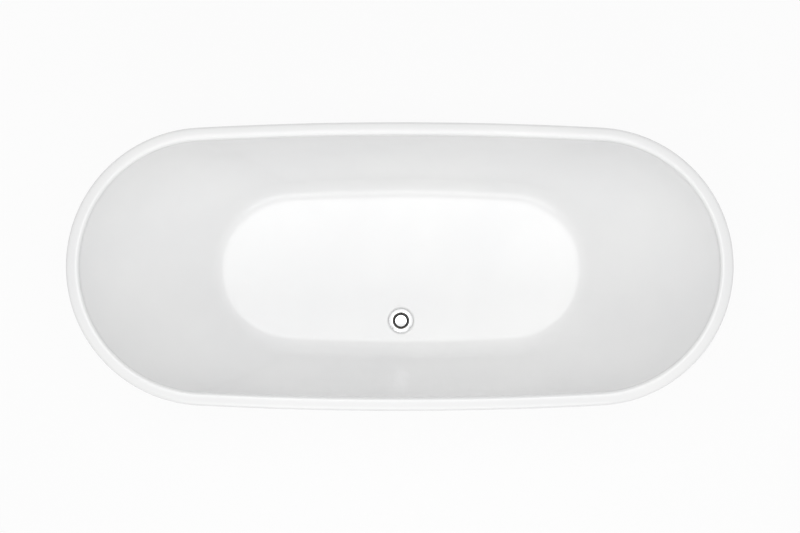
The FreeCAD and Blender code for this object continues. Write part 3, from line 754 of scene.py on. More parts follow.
@dataclass(frozen=True)
class Oval:
    """Level outline of four tangent arcs, two at the ends and two along the sides."""

    half_length: float
    half_width: float
    end_radius: float

    @property
    def reach(self) -> float:
        """Distance from the middle to the centre of an end arc."""
        return self.half_length - self.end_radius

    @property
    def side_radius(self) -> float:
        """Radius of a side arc."""
        spare = 2 * (self.half_width - self.end_radius)
        return (self.reach**2 + self.half_width**2 - self.end_radius**2) / spare

    @property
    def drop(self) -> float:
        """Distance from the middle to the centre of a side arc."""
        return self.side_radius - self.half_width

    @property
    def turn(self) -> float:
        """Half of the angle of an end arc."""
        return math.atan2(self.drop, self.reach)

    def grown(self, by: float) -> "Oval":
        """Parallel outline further out."""
        return Oval(self.half_length + by, self.half_width + by, self.end_radius + by)

    def trace(self, bm: Mesh, level: float) -> list[Edge]:
        """Draws the outline in an empty mesh by spinning a vertex along each arc.

        Args:
            bm: Empty mesh.
            level: Height of the outline.

        Returns:
            The closed loop of edges.
        """
        end, side = 2 * self.turn, math.pi - 2 * self.turn
        arcs = (
            (Vector((self.reach, 0, level)), self.end_radius, -self.turn, end),
            (Vector((0, -self.drop, level)), self.side_radius, self.turn, side),
            (Vector((-self.reach, 0, level)), self.end_radius, math.pi - self.turn, end),
            (Vector((0, self.drop, level)), self.side_radius, math.pi + self.turn, side),
        )
        for centre, radius, start, angle in arcs:
            arm = Vector((radius * math.cos(start), radius * math.sin(start), 0))
            sweep(bm, [bm.verts.new(centre + arm)], OUTLINE_STEPS, angle, centre)
        bmesh.ops.remove_doubles(bm, verts=bm.verts[:], dist=SEAM)
        return bm.edges[:]

    def follow(self, other: "Oval", point: Vector, level: float) -> Vector:
        """Moves a point of this outline to the like place on another.

        Args:
            other: Outline to move to.
            point: Point of this outline.
            level: Height of the new point.

        Returns:
            The new point.
        """
        x, y = abs(point.x), abs(point.y)
        bearing = math.atan2(y, x - self.reach)
        if bearing <= self.turn:
            angle = bearing / self.turn * other.turn
            x = other.reach + other.end_radius * math.cos(angle)
            y = other.end_radius * math.sin(angle)
        else:
            share = math.atan2(x, y + self.drop) / (QUARTER - self.turn)
            angle = share * (QUARTER - other.turn)
            x = other.side_radius * math.sin(angle)
            y = other.side_radius * math.cos(angle) - other.drop
        return Vector((math.copysign(x, point.x), math.copysign(y, point.y), level))

    def draw(
        self, bm: Mesh, loop: list[Edge], outlines: Sequence[tuple["Oval", float]]
    ) -> None:
        """Draws a sheet from this outline through others.

        Args:
            bm: Mesh with this outline.
            loop: Edges of this outline.
            outlines: The others, with their levels.
        """
        here = self
        for there, level in outlines:
            loop = extend(bm, loop, lambda p: here.follow(there, p, level))
            here = there

    def depth(self, point: Vector) -> float:
        """Distance of a place inside the outline from the nearest arc, seen from above.

        Args:
            point: Place.

        Returns:
            The distance.
        """
        x, y = abs(point.x), abs(point.y)
        if math.atan2(y, x - self.reach) <= self.turn:
            return self.end_radius - math.hypot(x - self.reach, y)
        return self.side_radius - math.hypot(x, y + self.drop)


class Blank:
    """Mesh in the making, with the lathe, thread and file work that the fittings share."""

    FACETS = 64  # round a turned solid
    FINE_FACETS = 96  # round one that shows or is filed
    ROUND_STEPS = 4
    BAR_STEPS = 2
    TOOTH = ((0.0, 0.0), (0.0, 0.2), (1.0, 0.5), (1.0, 0.7), (0.0, 1.0))  # in depths and pitches
    RUN_UP = 1.5  # turns of a thread below its lower end
    SPARE_TURNS = 3
    FACE_SHARE = 0.47  # radius of a nut's round face, in widths across the flats
    CONE = math.radians(30)  # slope at which a nut's corners are taken off
    CONE_STEPS = 5
    SOCKET_EDGE = 0.125  # how far a socket's eased edge lies from its wall, in radii

    def __init__(self) -> None:
        """Starts empty."""
        self.bm = bmesh.new()

    def add(self, other: Mesh, matrix: Matrix = Matrix.Identity(4)) -> "Blank":
        """Takes in another mesh.

        Args:
            other: Mesh to take in, which is freed.
            matrix: Where to put it.

        Returns:
            This blank.
        """
        carrier = bpy.data.meshes.new("carrier")
        other.to_mesh(carrier)
        other.free()
        carrier.transform(matrix)
        self.bm.from_mesh(carrier)
        bpy.data.meshes.remove(carrier)
        return self

    def turn(self, section: Sequence[Corner], facets: int = FACETS) -> "Blank":
        """Adds a solid turned about the Z axis.

        Args:
            section: Corners of the closed section, in order.
            facets: Facets round the axis.

        Returns:
            This blank.
        """
        lathe = bmesh.new()
        corners = [(*corner, 0.0)[:3] for corner in section]
        verts = [lathe.verts.new((radius, 0, level)) for radius, level, _ in corners]
        for pair in zip(verts, verts[1:] + verts[:1]):
            lathe.edges.new(pair)
        for rounding in sorted({corner[2] for corner in corners if corner[2]}):
            bends = [vert for vert, corner in zip(verts, corners) if corner[2] == rounding]
            round_off(lathe, bends, rounding, self.ROUND_STEPS, "VERTICES")
        sweep(lathe, everything(lathe), facets, merge=True)
        bmesh.ops.remove_doubles(lathe, verts=lathe.verts[:], dist=MERGE)
        face_outwards(lathe)
        return self.add(lathe)

    def thread(
        self,
        crest: float,
        depth: float,
        span: tuple[float, float],
        pitch: float,
        bore: float = 0.0,
        facets: int = 32,
    ) -> "Blank":
        """Adds a rod or sleeve with a helical thread about the Z axis.

        Args:
            crest: Outer radius.
            depth: Height of the thread.
            span: Lowest and highest level.
            pitch: Rise per turn.
            bore: Inner radius of a sleeve, or zero for a rod.
            facets: Facets per turn.

        Returns:
            This blank.
        """
        lathe = bmesh.new()
        root, start = crest - depth, span[0] - self.RUN_UP * pitch
        places = [(root + out * depth, 0, start + rise * pitch) for out, rise in self.TOOTH]
        verts = [lathe.verts.new(place) for place in places]
        for pair in zip(verts, verts[1:]):
            lathe.edges.new(pair)
        sweep(lathe, everything(lathe), facets, lift=UP * (pitch / facets))
        turns = 1
        while turns < (span[1] - span[0]) / pitch + self.SPARE_TURNS:
            above = bmesh.ops.duplicate(lathe, geom=everything(lathe))["geom"]
            bmesh.ops.translate(lathe, vec=UP * (pitch * turns), verts=vertices(above))
            turns *= 2
        bmesh.ops.remove_doubles(lathe, verts=lathe.verts[:], dist=WELD)
        for level, upper in zip(span, (False, True)):
            bmesh.ops.bisect_plane(
                lathe,
                geom=everything(lathe),
                plane_co=UP * level,
                plane_no=UP,
                clear_inner=not upper,
                clear_outer=upper,
            )
        bmesh.ops.dissolve_degenerate(lathe, dist=WELD, edges=lathe.edges[:])
        rims = open_edges(lathe)
        if bore:
            flat = Vector((1, 1, 0))
            rims = extend(lathe, rims, lambda p: (p * flat).normalized() * bore + UP * p.z)
            bmesh.ops.bridge_loops(lathe, edges=rims)
        else:
            bmesh.ops.holes_fill(lathe, edges=rims, sides=0)
        face_outwards(lathe, lambda: lathe.calc_volume(signed=True))
        return self.add(lathe)

    @staticmethod
    def off_flat(place: Vector) -> float:
        """Cosine of the angle from the middle of the nearest flat of a hexagon to a place."""
        return math.cos(math.atan2(place.y, place.x) % SIXTH - SIXTH / 2)

    def hexagon(self, flats: float, low: float, high: float, bore: float = 0.0) -> "Blank":
        """Adds a nut or collar whose corners are taken off at both ends by a cone.

        Args:
            flats: Distance across the flats.
            low: Lower face.
            high: Upper face.
            bore: Inner radius, or zero for a solid collar.

        Returns:
            This blank.
        """
        face = self.FACE_SHARE * flats
        run = flats / math.sqrt(3) - face
        shares = [index / self.CONE_STEPS for index in range(self.CONE_STEPS + 1)]
        fall = run * math.tan(self.CONE)
        lower = [(face + run * share, low + fall * share) for share in shares]
        upper = [(radius, low + high - level) for radius, level in reversed(lower)]
        self.turn([(bore, low), *lower, *upper, (bore, high)], self.FINE_FACETS)
        for vert in self.bm.verts:
            limit = flats / 2 / self.off_flat(vert.co)
            radius = math.hypot(vert.co.x, vert.co.y)
            if radius > limit:
                vert.co.xy *= limit / radius
        return self

    def broach_hexagon(self, radius: float) -> None:
        """Makes the round socket of a radius a hexagonal one whose corners keep that radius.

        Args:
            radius: Radius of the round socket.
        """
        for vert in self.bm.verts:
            if abs(math.hypot(vert.co.x, vert.co.y) - radius) < radius * self.SOCKET_EDGE:
                vert.co.xy *= math.cos(SIXTH / 2) / self.off_flat(vert.co)

    def bar(self, low: Triple, high: Triple, ease: float) -> "Blank":
        """Adds a box with eased edges.

        Args:
            low: Lowest corner.
            high: Highest corner.
            ease: Width of the eased edges.

        Returns:
            This blank.
        """
        box, size = bmesh.new(), Vector(high) - Vector(low)
        place = Matrix.LocRotScale(Vector(low) + size / 2, None, size)
        bmesh.ops.create_cube(box, size=1.0, matrix=place)
        round_off(box, box.edges[:], ease, self.BAR_STEPS)
        return self.add(box)

    def copied(self, places: Sequence[Matrix]) -> Mesh:
        """Repeats everything so far at several places, and ends this blank.

        Args:
            places: Where the copies go.

        Returns:
            The finished mesh.
        """
        many = Blank()
        for place in places:
            many.add(self.bm.copy(), place)
        self.bm.free()
        return many.bm


# Sub-assemblies


@dataclass
class SubAssembly:
    """Group of pieces that are built together and then dressed."""

    sharp: float = field(default=math.radians(38), kw_only=True)  # folds above this stay crisp
    made: list[tuple[bpy.types.Object, Slot]] = field(default_factory=list, kw_only=True)

    def build(self) -> None:
        """Makes the pieces."""
        raise NotImplementedError

    def dress(self, paints: Paints) -> None:
        """Paints the pieces with the materials of their slots."""
        for piece, slot in self.made:
            piece.data.materials.append(paints[slot])

    def piece(self, name: str, bm: Mesh, node: str, body: str = TUB) -> bpy.types.Object:
        """Turns a finished mesh into a piece that stands for a CAD node.

        Args:
            name: Name of the piece.
            bm: Its mesh, which is freed.
            node: CAD node that it stands for, and whose slot it takes.
            body: Body that it rides on.

        Returns:
            The new object.
        """
        mesh = bpy.data.meshes.new(name)
        bm.to_mesh(mesh)
        bm.free()
        slot = SLOT_OF[node]
        mesh.shade_smooth()
        mesh.set_sharp_from_angle(angle=self.sharp)
        made = bpy.data.objects.new(name, mesh)
        bpy.context.scene.collection.objects.link(made)
        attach(made, body)
        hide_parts(node)
        self.made.append((made, slot))
        LOG.info("%s: %d faces on %s", name, len(mesh.polygons), body)
        return made

    def turned(
        self,
        name: str,
        node: str,
        section: Sequence[Corner],
        axis: Matrix,
        body: str = TUB,
        facets: int = Blank.FACETS,
    ) -> None:
        """Makes a piece for a CAD node by turning a section about an axis."""
        self.piece(name, Blank().turn(section, facets).copied([axis]), node, body)


@dataclass
class Moulding(SubAssembly):
    """Acrylic sheet that is drawn from an outline and then gets its wall."""

    wall: float = 0.005
    edge_ease: float = 0.0012
    edge_steps: int = 3
    edge_fold: float = math.radians(60)

    def thicken(self, piece: bpy.types.Object) -> None:
        """Gives the sheet its wall behind the shown face, and eases the wall's edges.

        Args:
            piece: Sheet to thicken.
        """
        wall = piece.modifiers.new("wall", "SOLIDIFY")
        wall.thickness = self.wall
        wall.offset = -1.0
        wall.use_even_offset = True
        edges = piece.modifiers.new("eased_edges", "BEVEL")
        edges.width = self.edge_ease
        edges.segments = self.edge_steps
        edges.limit_method = "ANGLE"
        edges.angle_limit = self.edge_fold


@dataclass
class BasinMoulding(Moulding):
    """Inner moulding: rolled rim, sloping walls, rounded floor and the waste's dished seat."""

    roll_width: float = 0.034
    rim_leg: float = 0.015
    lip_depth: float = 0.034
    inner_round: float = 0.008
    outer_run: float = 0.008
    crest_fall: float = 0.002
    floor_height: float = 0.150
    floor_half_length: float = 0.500
    floor_half_width: float = 0.197
    floor_round: float = 0.068
    wall_radius: float = 1.100
    leg_ease: float = 0.006
    start_turn: float = math.radians(18)
    wall_turn: float = math.radians(77)
    dish_depth: float = 0.0025
    dish_floor: float = 0.0358
    dish_mouth: float = 0.0405
    dish_clear: float = 0.0500
    hole: float = 0.0260
    round_steps: int = 12
    wall_steps: int = 12
    ease_steps: int = 10
    arc_steps: int = 9
    floor_steps: int = 22
    dish_steps: int = 36

    def __post_init__(self) -> None:
        """Takes the outer sizes and the waste's place from the frame."""
        _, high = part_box("basin_shell")
        self.rim = Oval(high.x, high.y, high.y - SIDE_BOW)
        self.rim_top = high.z
        self.wall_top = high.z - self.rim_leg
        self.round_centre = self.floor_height + self.floor_round
        self.waste = axis_of("waste_body").to_translation()

    def wall_half(self, top_half: float, floor_half: float, level: float) -> float:
        """Half size of the inside at a level, with the curved wall eased into the rim's leg.

        Args:
            top_half: Half size under the rim.
            floor_half: Half size of the flat floor.
            level: Height.

        Returns:
            The half size.
        """
        run = top_half - floor_half
        rise = self.wall_top - self.round_centre
        arm = self.wall_radius - self.floor_round
        span = math.hypot(run, rise)
        bend = math.acos((arm**2 + span**2 - self.wall_radius**2) / (2 * arm * span))
        bearing = math.atan2(rise, run) + bend
        if level < self.round_centre - self.floor_round * math.sin(bearing):
            drop = self.round_centre - level
            return floor_half + math.sqrt(max(self.floor_round**2 - drop**2, 0))
        below = self.wall_top - level
        if abs(below) < self.leg_ease:
            below = (below + self.leg_ease) ** 2 / (4 * self.leg_ease)
        fall = self.wall_top - max(below, 0) - self.round_centre - arm * math.sin(bearing)
        return floor_half + arm * math.cos(bearing) + math.sqrt(self.wall_radius**2 - fall**2)

    def inside(self, level: float) -> Oval:
        """Outline of the inside at a level below the rim.

        Args:
            level: Height.

        Returns:
            The outline.
        """
        top = self.rim.grown(-self.roll_width)
        half_length = self.wall_half(top.half_length, self.floor_half_length, level)
        half_width = self.wall_half(top.half_width, self.floor_half_width, level)
        return Oval(half_length, half_width, half_width * (1 - SIDE_BOW / top.half_width))

    def wall_levels(self) -> list[float]:
        """Heights of the outlines from the floor's rounding up to the rim's inner rounding.

        Returns:
            The heights in order.
        """
        turn = (self.wall_turn - self.start_turn) / self.round_steps
        turns = [self.start_turn + turn * (index + 1) for index in range(self.round_steps)]
        levels = [self.round_centre - self.floor_round * math.cos(turn) for turn in turns]
        ease_low = self.wall_top - self.leg_ease
        climb = (ease_low - levels[-1]) / self.wall_steps
        levels += [levels[-1] + climb * (index + 1) for index in range(self.wall_steps)]
        climb = 2 * self.leg_ease / self.ease_steps
        return levels + [ease_low + climb * (index + 1) for index in range(self.ease_steps)]

    def rim_section(self) -> list[tuple[float, float]]:
        """Section of the rim, from the leg over the crest to the lip.

        Returns:
            Offsets from the outer edge, and heights.
        """
        crest, inner_low = self.inner_round - self.roll_width, self.rim_top - self.inner_round
        run = -self.outer_run - crest
        radius = (run**2 + self.crest_fall**2) / (2 * self.crest_fall)
        slope = math.asin(run / radius)
        outer = self.outer_run / (1 - math.sin(slope))
        outer_low = self.rim_top - self.crest_fall - outer * math.cos(slope)
        steps, shoulder = self.arc_steps, QUARTER - slope
        places = [(-self.roll_width, inner_low)]
        places += arc((crest, inner_low), self.inner_round, math.pi, QUARTER, steps)
        places += arc((crest, self.rim_top - radius), radius, QUARTER, shoulder, steps)
        places += arc((-outer, outer_low), outer, shoulder, 0.0, steps)
        return places + [(0.0, self.rim_top - self.lip_depth)]

    def floor_level(self, place: Vector, start: Oval) -> float:
        """Height of the floor, its rounding and the waste's dish at a place.

        Args:
            place: Place seen from above.
            start: Outline at the first step of the rounding.

        Returns:
            The height.
        """
        outside = self.floor_round * math.sin(self.start_turn) - start.depth(place)
        level = self.round_centre - math.sqrt(self.floor_round**2 - max(outside, 0) ** 2)
        radius = math.hypot(place.x - self.waste.x, place.y - self.waste.y)
        share = (self.dish_mouth - radius) / (self.dish_mouth - self.dish_floor)
        share = min(max(share, 0), 1)
        return level - self.dish_depth * share * share * (3 - 2 * share)

    def towards_waste(
        self, place: Vector, distance: Callable[[float], float], start: Oval
    ) -> Vector:
        """Moves a place of the floor along the line to the waste's axis.

        Args:
            place: Place to move.
            distance: Gives the new distance from the axis for the old one.
            start: Outline at the first step of the rounding.

        Returns:
            The new place on the floor.
        """
        arm = Vector((place.x - self.waste.x, place.y - self.waste.y, 0))
        spot = self.waste + arm.normalized() * distance(arm.length)
        spot.z = self.floor_level(spot, start)
        return spot

    def build(self) -> None:
        """Makes the moulding as one sheet drawn up and in from an outline on the rounding."""
        bm = bmesh.new()
        level = self.round_centre - self.floor_round * math.cos(self.start_turn)
        start = self.inside(level)
        first = start.trace(bm, level)
        outlines = [(self.inside(level), level) for level in self.wall_levels()]
        outlines += [(self.rim.grown(offset), level) for offset, level in self.rim_section()]
        start.draw(bm, first, outlines)
        self.draw_floor(bm, first, start)
        lowest = min(bm.faces, key=lambda face: face.calc_center_median().z)
        face_outwards(bm, lambda: lowest.normal.z)
        self.thicken(self.piece("basin_moulding", bm, "basin_shell"))

    def draw_floor(self, bm: Mesh, loop: list[Edge], start: Oval) -> None:
        """Draws the floor in to the waste's dish and hole.

        Args:
            bm: Mesh with the first outline.
            loop: Edges of that outline.
            start: That outline.
        """
        clear, steps = self.dish_clear, self.dish_steps
        shares = [1 - (index / self.floor_steps) ** 2 for index in range(self.floor_steps + 1)]
        ratios = [new / old for old, new in zip(shares, shares[1:])]
        radii = [clear + (self.hole - clear) * (index + 1) / steps for index in range(steps)]
        moves = [lambda far, ratio=ratio: clear + (far - clear) * ratio for ratio in ratios]
        moves += [lambda far, radius=radius: radius for radius in radii]
        for move in moves:
            loop = extend(bm, loop, lambda p: self.towards_waste(p, move, start))


@dataclass
class SkirtMoulding(Moulding):
    """Outer moulding that swells from the floor to the rim."""

    edge_ease: float = 0.0018
    base_half_length: float = 0.645
    base_half_width: float = 0.285
    floor_gap: float = 0.004
    tuck: float = 0.024
    set_back: float = 0.0058
    curve_power: float = 1.6
    level_steps: int = 44

    def __post_init__(self) -> None:
        """Takes the outer sizes from the frame."""
        _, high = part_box("basin_shell")
        self.top = Oval(high.x, high.y, high.y - SIDE_BOW).grown(-self.set_back)
        self.top_level = high.z - self.tuck

    def outline(self, share: float) -> tuple[Oval, float]:
        """Outline of the skirt at a share of its height.

        Args:
            share: Zero at the foot, one at the top.

        Returns:
            The outline and its level.
        """
        top, swell = self.top, 1 - (1 - share) ** self.curve_power
        half_length = self.base_half_length + (top.half_length - self.base_half_length) * swell
        half_width = self.base_half_width + (top.half_width - self.base_half_width) * swell
        level = self.floor_gap + (self.top_level - self.floor_gap) * share
        return Oval(half_length, half_width, half_width * top.end_radius / top.half_width), level

    def build(self) -> None:
        """Makes the moulding as one sheet drawn up from its foot."""
        bm = bmesh.new()
        shares = [index / self.level_steps for index in range(self.level_steps + 1)]
        (foot, level), *outlines = [self.outline(share) for share in shares]
        foot.draw(bm, foot.trace(bm, level), outlines)
        furthest = max(bm.faces, key=lambda face: face.calc_center_median().x)
        face_outwards(bm, lambda: furthest.normal.x)
        self.thicken(self.piece("skirt_moulding", bm, "skirt_shell"))


@dataclass
class WasteFitting(SubAssembly):
    """Waste with flange, throat, threaded tail and spider, and the seals that clamp it."""

    bore: float = 0.0195
    throat: float = 0.0220
    throat_fall: float = 0.0016
    throat_round: float = 0.0005
    seat_depth: float = 0.0090
    shoulder: float = 0.0265
    shoulder_round: float = 0.0010
    flange: float = 0.0350
    flange_edge: float = 0.0012
    under_flange: float = 0.0254
    under_round: float = 0.0002
    edge_round: float = 0.0006  # of the flange, the seat and the spider's hub
    body: float = 0.0246
    tail: float = 0.0239
    tail_length: float = 0.0300
    thread_pitch: float = 0.00231
    thread_depth: float = 0.0011
    body_facets: int = 64
    tail_facets: int = 60
    joint: float = 0.00002  # line between the plain and the threaded part
    seal_ease: float = 0.0004
    shadow_line_bulge: float = 0.0004  # how far the black seal is pushed out round the flange: a real seal, widened so its thin dark ring paints the shadow line at the flange's edge
    hub: float = 0.0085
    arm: float = 0.0032
    arm_count: int = 4
    arm_bite: float = 0.0010
    arm_ease: float = 0.0005
    spider_height: float = 0.0050

    def __post_init__(self) -> None:
        """Takes the levels and the axis from the frame."""
        self.low, self.high = levels_of("waste_body")
        self.axis = axis_of("waste_body")

    def build(self) -> None:
        """Makes the waste body, its seals and its washer."""
        self.build_body()
        # the seal reaches past the flange so that its black ring paints the shadow line round the
        # flange's edge
        self.build_ring("flange_seal", self.under_flange, self.flange + self.shadow_line_bulge)
        for node in ("back_gasket", "friction_washer"):
            self.build_ring(node, self.body, radius_of(node))

    def build_ring(self, node: str, inner: float, outer: float) -> None:
        """Makes a seal or washer round the body.

        Args:
            node: CAD node that it stands for.
            inner: Inner radius.
            outer: Outer radius.
        """
        low, high = levels_of(node)
        corners = ((inner, low), (outer, low), (outer, high), (inner, high))
        section = [(*corner, self.seal_ease) for corner in corners]
        self.turned(f"{node}_ring", node, section, self.axis)

    def build_body(self) -> None:
        """Makes the flange and throat, the threads below them and the spider in the tail."""
        seat_low, under = levels_of("flange_seal")
        threaded_top = levels_of("friction_washer")[1]
        tail_top = self.low + self.tail_length
        throat_top = self.high - self.throat_fall
        section = [
            (self.bore, threaded_top),
            (self.body, threaded_top),
            (self.body, seat_low),
            (self.under_flange, under),
            (self.flange, under, self.under_round),
            (self.flange, under + self.flange_edge, self.edge_round),
            (self.shoulder, self.high, self.shoulder_round),
            (self.throat, throat_top, self.throat_round),
            (self.bore, throat_top - self.seat_depth, self.edge_round),
        ]
        body = Blank().turn(section, Blank.FINE_FACETS)
        for crest, span, facets in (
            (self.body, (tail_top, threaded_top - self.joint), self.body_facets),
            (self.tail, (self.low, tail_top), self.tail_facets),
        ):
            body.thread(crest, self.thread_depth, span, self.thread_pitch, self.bore, facets)
        self.add_spider(body, tail_top, tail_top + self.spider_height)
        self.piece("waste_fitting", body.copied([self.axis]), "waste_body")

    def add_spider(self, body: Blank, low: float, high: float) -> None:
        """Adds the hub and the arms that carry the plug's cartridge.

        Args:
            body: Blank of the waste.
            low: Lower face.
            high: Upper face.
        """
        hub, half = self.hub, self.arm / 2
        rounding = self.edge_round
        body.turn([(0.0, low), (hub, low, rounding), (hub, high, rounding), (0.0, high)])
        tip = self.bore + self.arm_bite
        arm = Blank().bar((hub / 2, -half, low), (tip, half, high), self.arm_ease)
        turn = math.tau / self.arm_count
        places = [Matrix.Rotation(turn * index, 4, "Z") for index in range(self.arm_count)]
        body.add(arm.copied(places))


@dataclass
class PushPlug(SubAssembly):
    """Domed cap, seal and stem that slide together, with the cartridge and spring under them."""

    cap_edge: float = 0.0036
    cap_dome: float = 0.0014
    cap_round: float = 0.0012
    cap_steps: int = 6
    dome_steps: int = 10
    seal_low_round: float = 0.0012
    seal_high_round: float = 0.0008
    holder: float = 0.0120
    holder_flange: float = 0.0160
    holder_lip: float = 0.0015
    stem: float = 0.0026
    stem_head: float = 0.0042
    stem_head_height: float = 0.0030
    ease: float = 0.0004
    fine_ease: float = 0.0003
    bore: float = 0.0050
    slide_gap: float = 0.00006
    cartridge_top: float = 0.0020
    cartridge_round: float = 0.0006
    wire: float = 0.0005
    wire_facets: int = 12
    turns: int = 6
    turn_steps: int = 28
    travel: float = 0.0080

    def __post_init__(self) -> None:
        """Takes the axis from the frame."""
        self.axis = axis_of("plug_cap")

    def build(self) -> None:
        """Makes the moving plug and its fixed parts."""
        self.build_cap()
        self.build_seal()
        self.build_stem()
        self.build_cartridge()
        self.build_spring()

    def build_cap(self) -> None:
        """Makes the cap as a turned disc with a rounded edge and a shallow dome."""
        low, high = levels_of("plug_cap")
        radius = radius_of("plug_cap")
        flat, side_top = radius - self.cap_round, low + self.cap_edge - self.cap_round
        dome = (flat**2 + self.cap_dome**2) / (2 * self.cap_dome)
        lean = QUARTER - math.asin(flat / dome)
        places = arc((flat, side_top), self.cap_round, 0.0, QUARTER, self.cap_steps)
        places += arc((0.0, high - dome), dome, lean, QUARTER, self.dome_steps)
        section = [(0.0, low), (radius, low, self.fine_ease), (radius, side_top)]
        section += [(max(across, 0.0), level) for across, level in places]
        self.turned("plug_cap_dome", "plug_cap", section, self.axis, PLUG, Blank.FINE_FACETS)

    def build_seal(self) -> None:
        """Makes the rubber ring with a rounded lip."""
        low, high = levels_of("plug_seal")
        outer = radius_of("plug_seal")
        lip = [(outer, low, self.seal_low_round), (outer, high, self.seal_high_round)]
        section = [(self.holder, low), *lip, (self.holder, high)]
        self.turned("plug_seal_ring", "plug_seal", section, self.axis, PLUG, Blank.FINE_FACETS)

    def build_stem(self) -> None:
        """Makes the seal holder, the stem and the head at its foot."""
        low, high = levels_of("plug_stem")
        seal_low = levels_of("plug_seal")[0]
        head_top, lip_low = low + self.stem_head_height, seal_low - self.holder_lip
        section = [
            (0.0, low),
            (self.stem_head, low, self.ease),
            (self.stem_head, head_top, self.ease),
            (self.stem, head_top),
            (self.stem, lip_low, self.ease),
            (self.holder_flange, lip_low, self.ease),
            (self.holder_flange, seal_low, self.fine_ease),
            (self.holder, seal_low),
            (self.holder, high),
            (0.0, high),
        ]
        self.turned("plug_stem_turned", "plug_stem", section, self.axis, PLUG)

    def build_cartridge(self) -> None:
        """Makes the sleeve in which the stem slides."""
        low, high = levels_of("plug_cartridge")
        outer, mouth = radius_of("plug_cartridge"), self.stem + self.slide_gap
        floor, roof = low + self.cartridge_top, high - self.cartridge_top
        section = [
            (0.0, low),
            (outer, low, self.ease),
            (outer, high, self.cartridge_round),
            (mouth, high, self.fine_ease),
            (mouth, roof),
            (self.bore, roof),
            (self.bore, floor),
            (0.0, floor),
        ]
        self.turned("plug_cartridge_sleeve", "plug_cartridge", section, self.axis)

    def build_spring(self) -> None:
        """Makes the coil."""
        low, high = levels_of("plug_spring")
        coil = radius_of("plug_spring") - self.wire
        steps = self.turns * self.turn_steps
        lift = UP * ((high - low - 2 * self.wire) / steps)
        bm = bmesh.new()
        upright = moved(coil, 0, low + self.wire) @ Matrix.Rotation(QUARTER, 4, "X")
        bmesh.ops.create_circle(
            bm, segments=self.wire_facets, radius=self.wire, matrix=upright
        )
        sweep(bm, everything(bm), steps, math.tau * self.turns, lift=lift)
        bmesh.ops.remove_doubles(bm, verts=bm.verts[:], dist=MERGE)
        bmesh.ops.holes_fill(bm, edges=open_edges(bm), sides=0)
        face_outwards(bm)
        made = self.piece("plug_spring_coil", Blank().add(bm, self.axis).bm, "plug_spring")
        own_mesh(made)


@dataclass
class LevellingFoot(SubAssembly):
    """Grooved pad and threaded bolt of one levelling foot."""

    number: int
    pad_top: float = 0.0140
    pad_edge: float = 0.0050
    pad_round: float = 0.0016
    foot_round: float = 0.0006
    socket: float = 0.00606
    socket_floor: float = 0.00495
    socket_round: float = 0.0004
    grooves: tuple[float, ...] = (0.0090, 0.0145, 0.0200)
    groove_width: float = 0.0020
    groove_depth: float = 0.0010
    shank: float = 0.0060
    shank_round: float = 0.0008
    flats: float = 0.0190
    collar_height: float = 0.0070
    collar_gap: float = 0.00005  # lets the bolt turn on its pad
    pitch: float = 0.00175
    thread_depth: float = 0.0010

    def __post_init__(self) -> None:
        """Takes the names and the axis of the foot from its number."""
        self.pad, self.bolt = f"foot_pad_{self.number}", f"foot_bolt_{self.number}"
        self.axis = axis_of(self.pad)

    def build(self) -> None:
        """Makes the pad and the bolt on their bodies."""
        self.build_pad()
        self.build_bolt()

    def build_pad(self) -> None:
        """Makes the pad with grip grooves underneath."""
        radius, height = radius_of(self.pad), levels_of(self.pad)[1]
        section = [(0.0, 0.0)]
        for near in self.grooves:
            far, deep = near + self.groove_width, self.groove_depth
            section += [(near, 0.0), (near, deep), (far, deep), (far, 0.0)]
        section += [
            (radius, 0.0, self.foot_round),
            (radius, self.pad_edge, self.pad_round),
            (self.pad_top, height, self.pad_round),
            (self.socket, height, self.socket_round),
            (self.socket, self.socket_floor),
            (0.0, self.socket_floor),
        ]
        self.turned(f"{self.pad}_grooved", self.pad, section, self.axis, self.pad)

    def build_bolt(self) -> None:
        """Makes the bolt with its plain foot, spanner collar and thread."""
        low, high = levels_of(self.bolt)
        seat = levels_of(self.pad)[1]
        collar_low, collar_top = seat + self.collar_gap, seat + self.collar_height
        bolt = Blank().hexagon(self.flats, collar_low, collar_top)
        shank = [(self.shank, low, self.shank_round), (self.shank, collar_low)]
        bolt.turn([(0.0, low), *shank, (0.0, collar_low)])
        bolt.thread(self.shank, self.thread_depth, (collar_top, high), self.pitch)
        self.piece(f"{self.bolt}_threaded", bolt.copied([self.axis]), self.bolt, self.bolt)


@dataclass
class FootNuts(SubAssembly):
    """Weld nuts under the tubes and lock nuts under those, one of each per foot."""

    flats: float = 0.0190
    bore: float = 0.00606

    def build(self) -> None:
        """Makes both rows of nuts."""
        axes = [axis_of(f"foot_pad_{number}") for number in FEET]
        for node in ("weld_nuts", "lock_nuts"):
            nut = Blank().hexagon(self.flats, *levels_of(node), self.bore)
            self.piece(f"{node}_chamfered", nut.copied(axes), node)


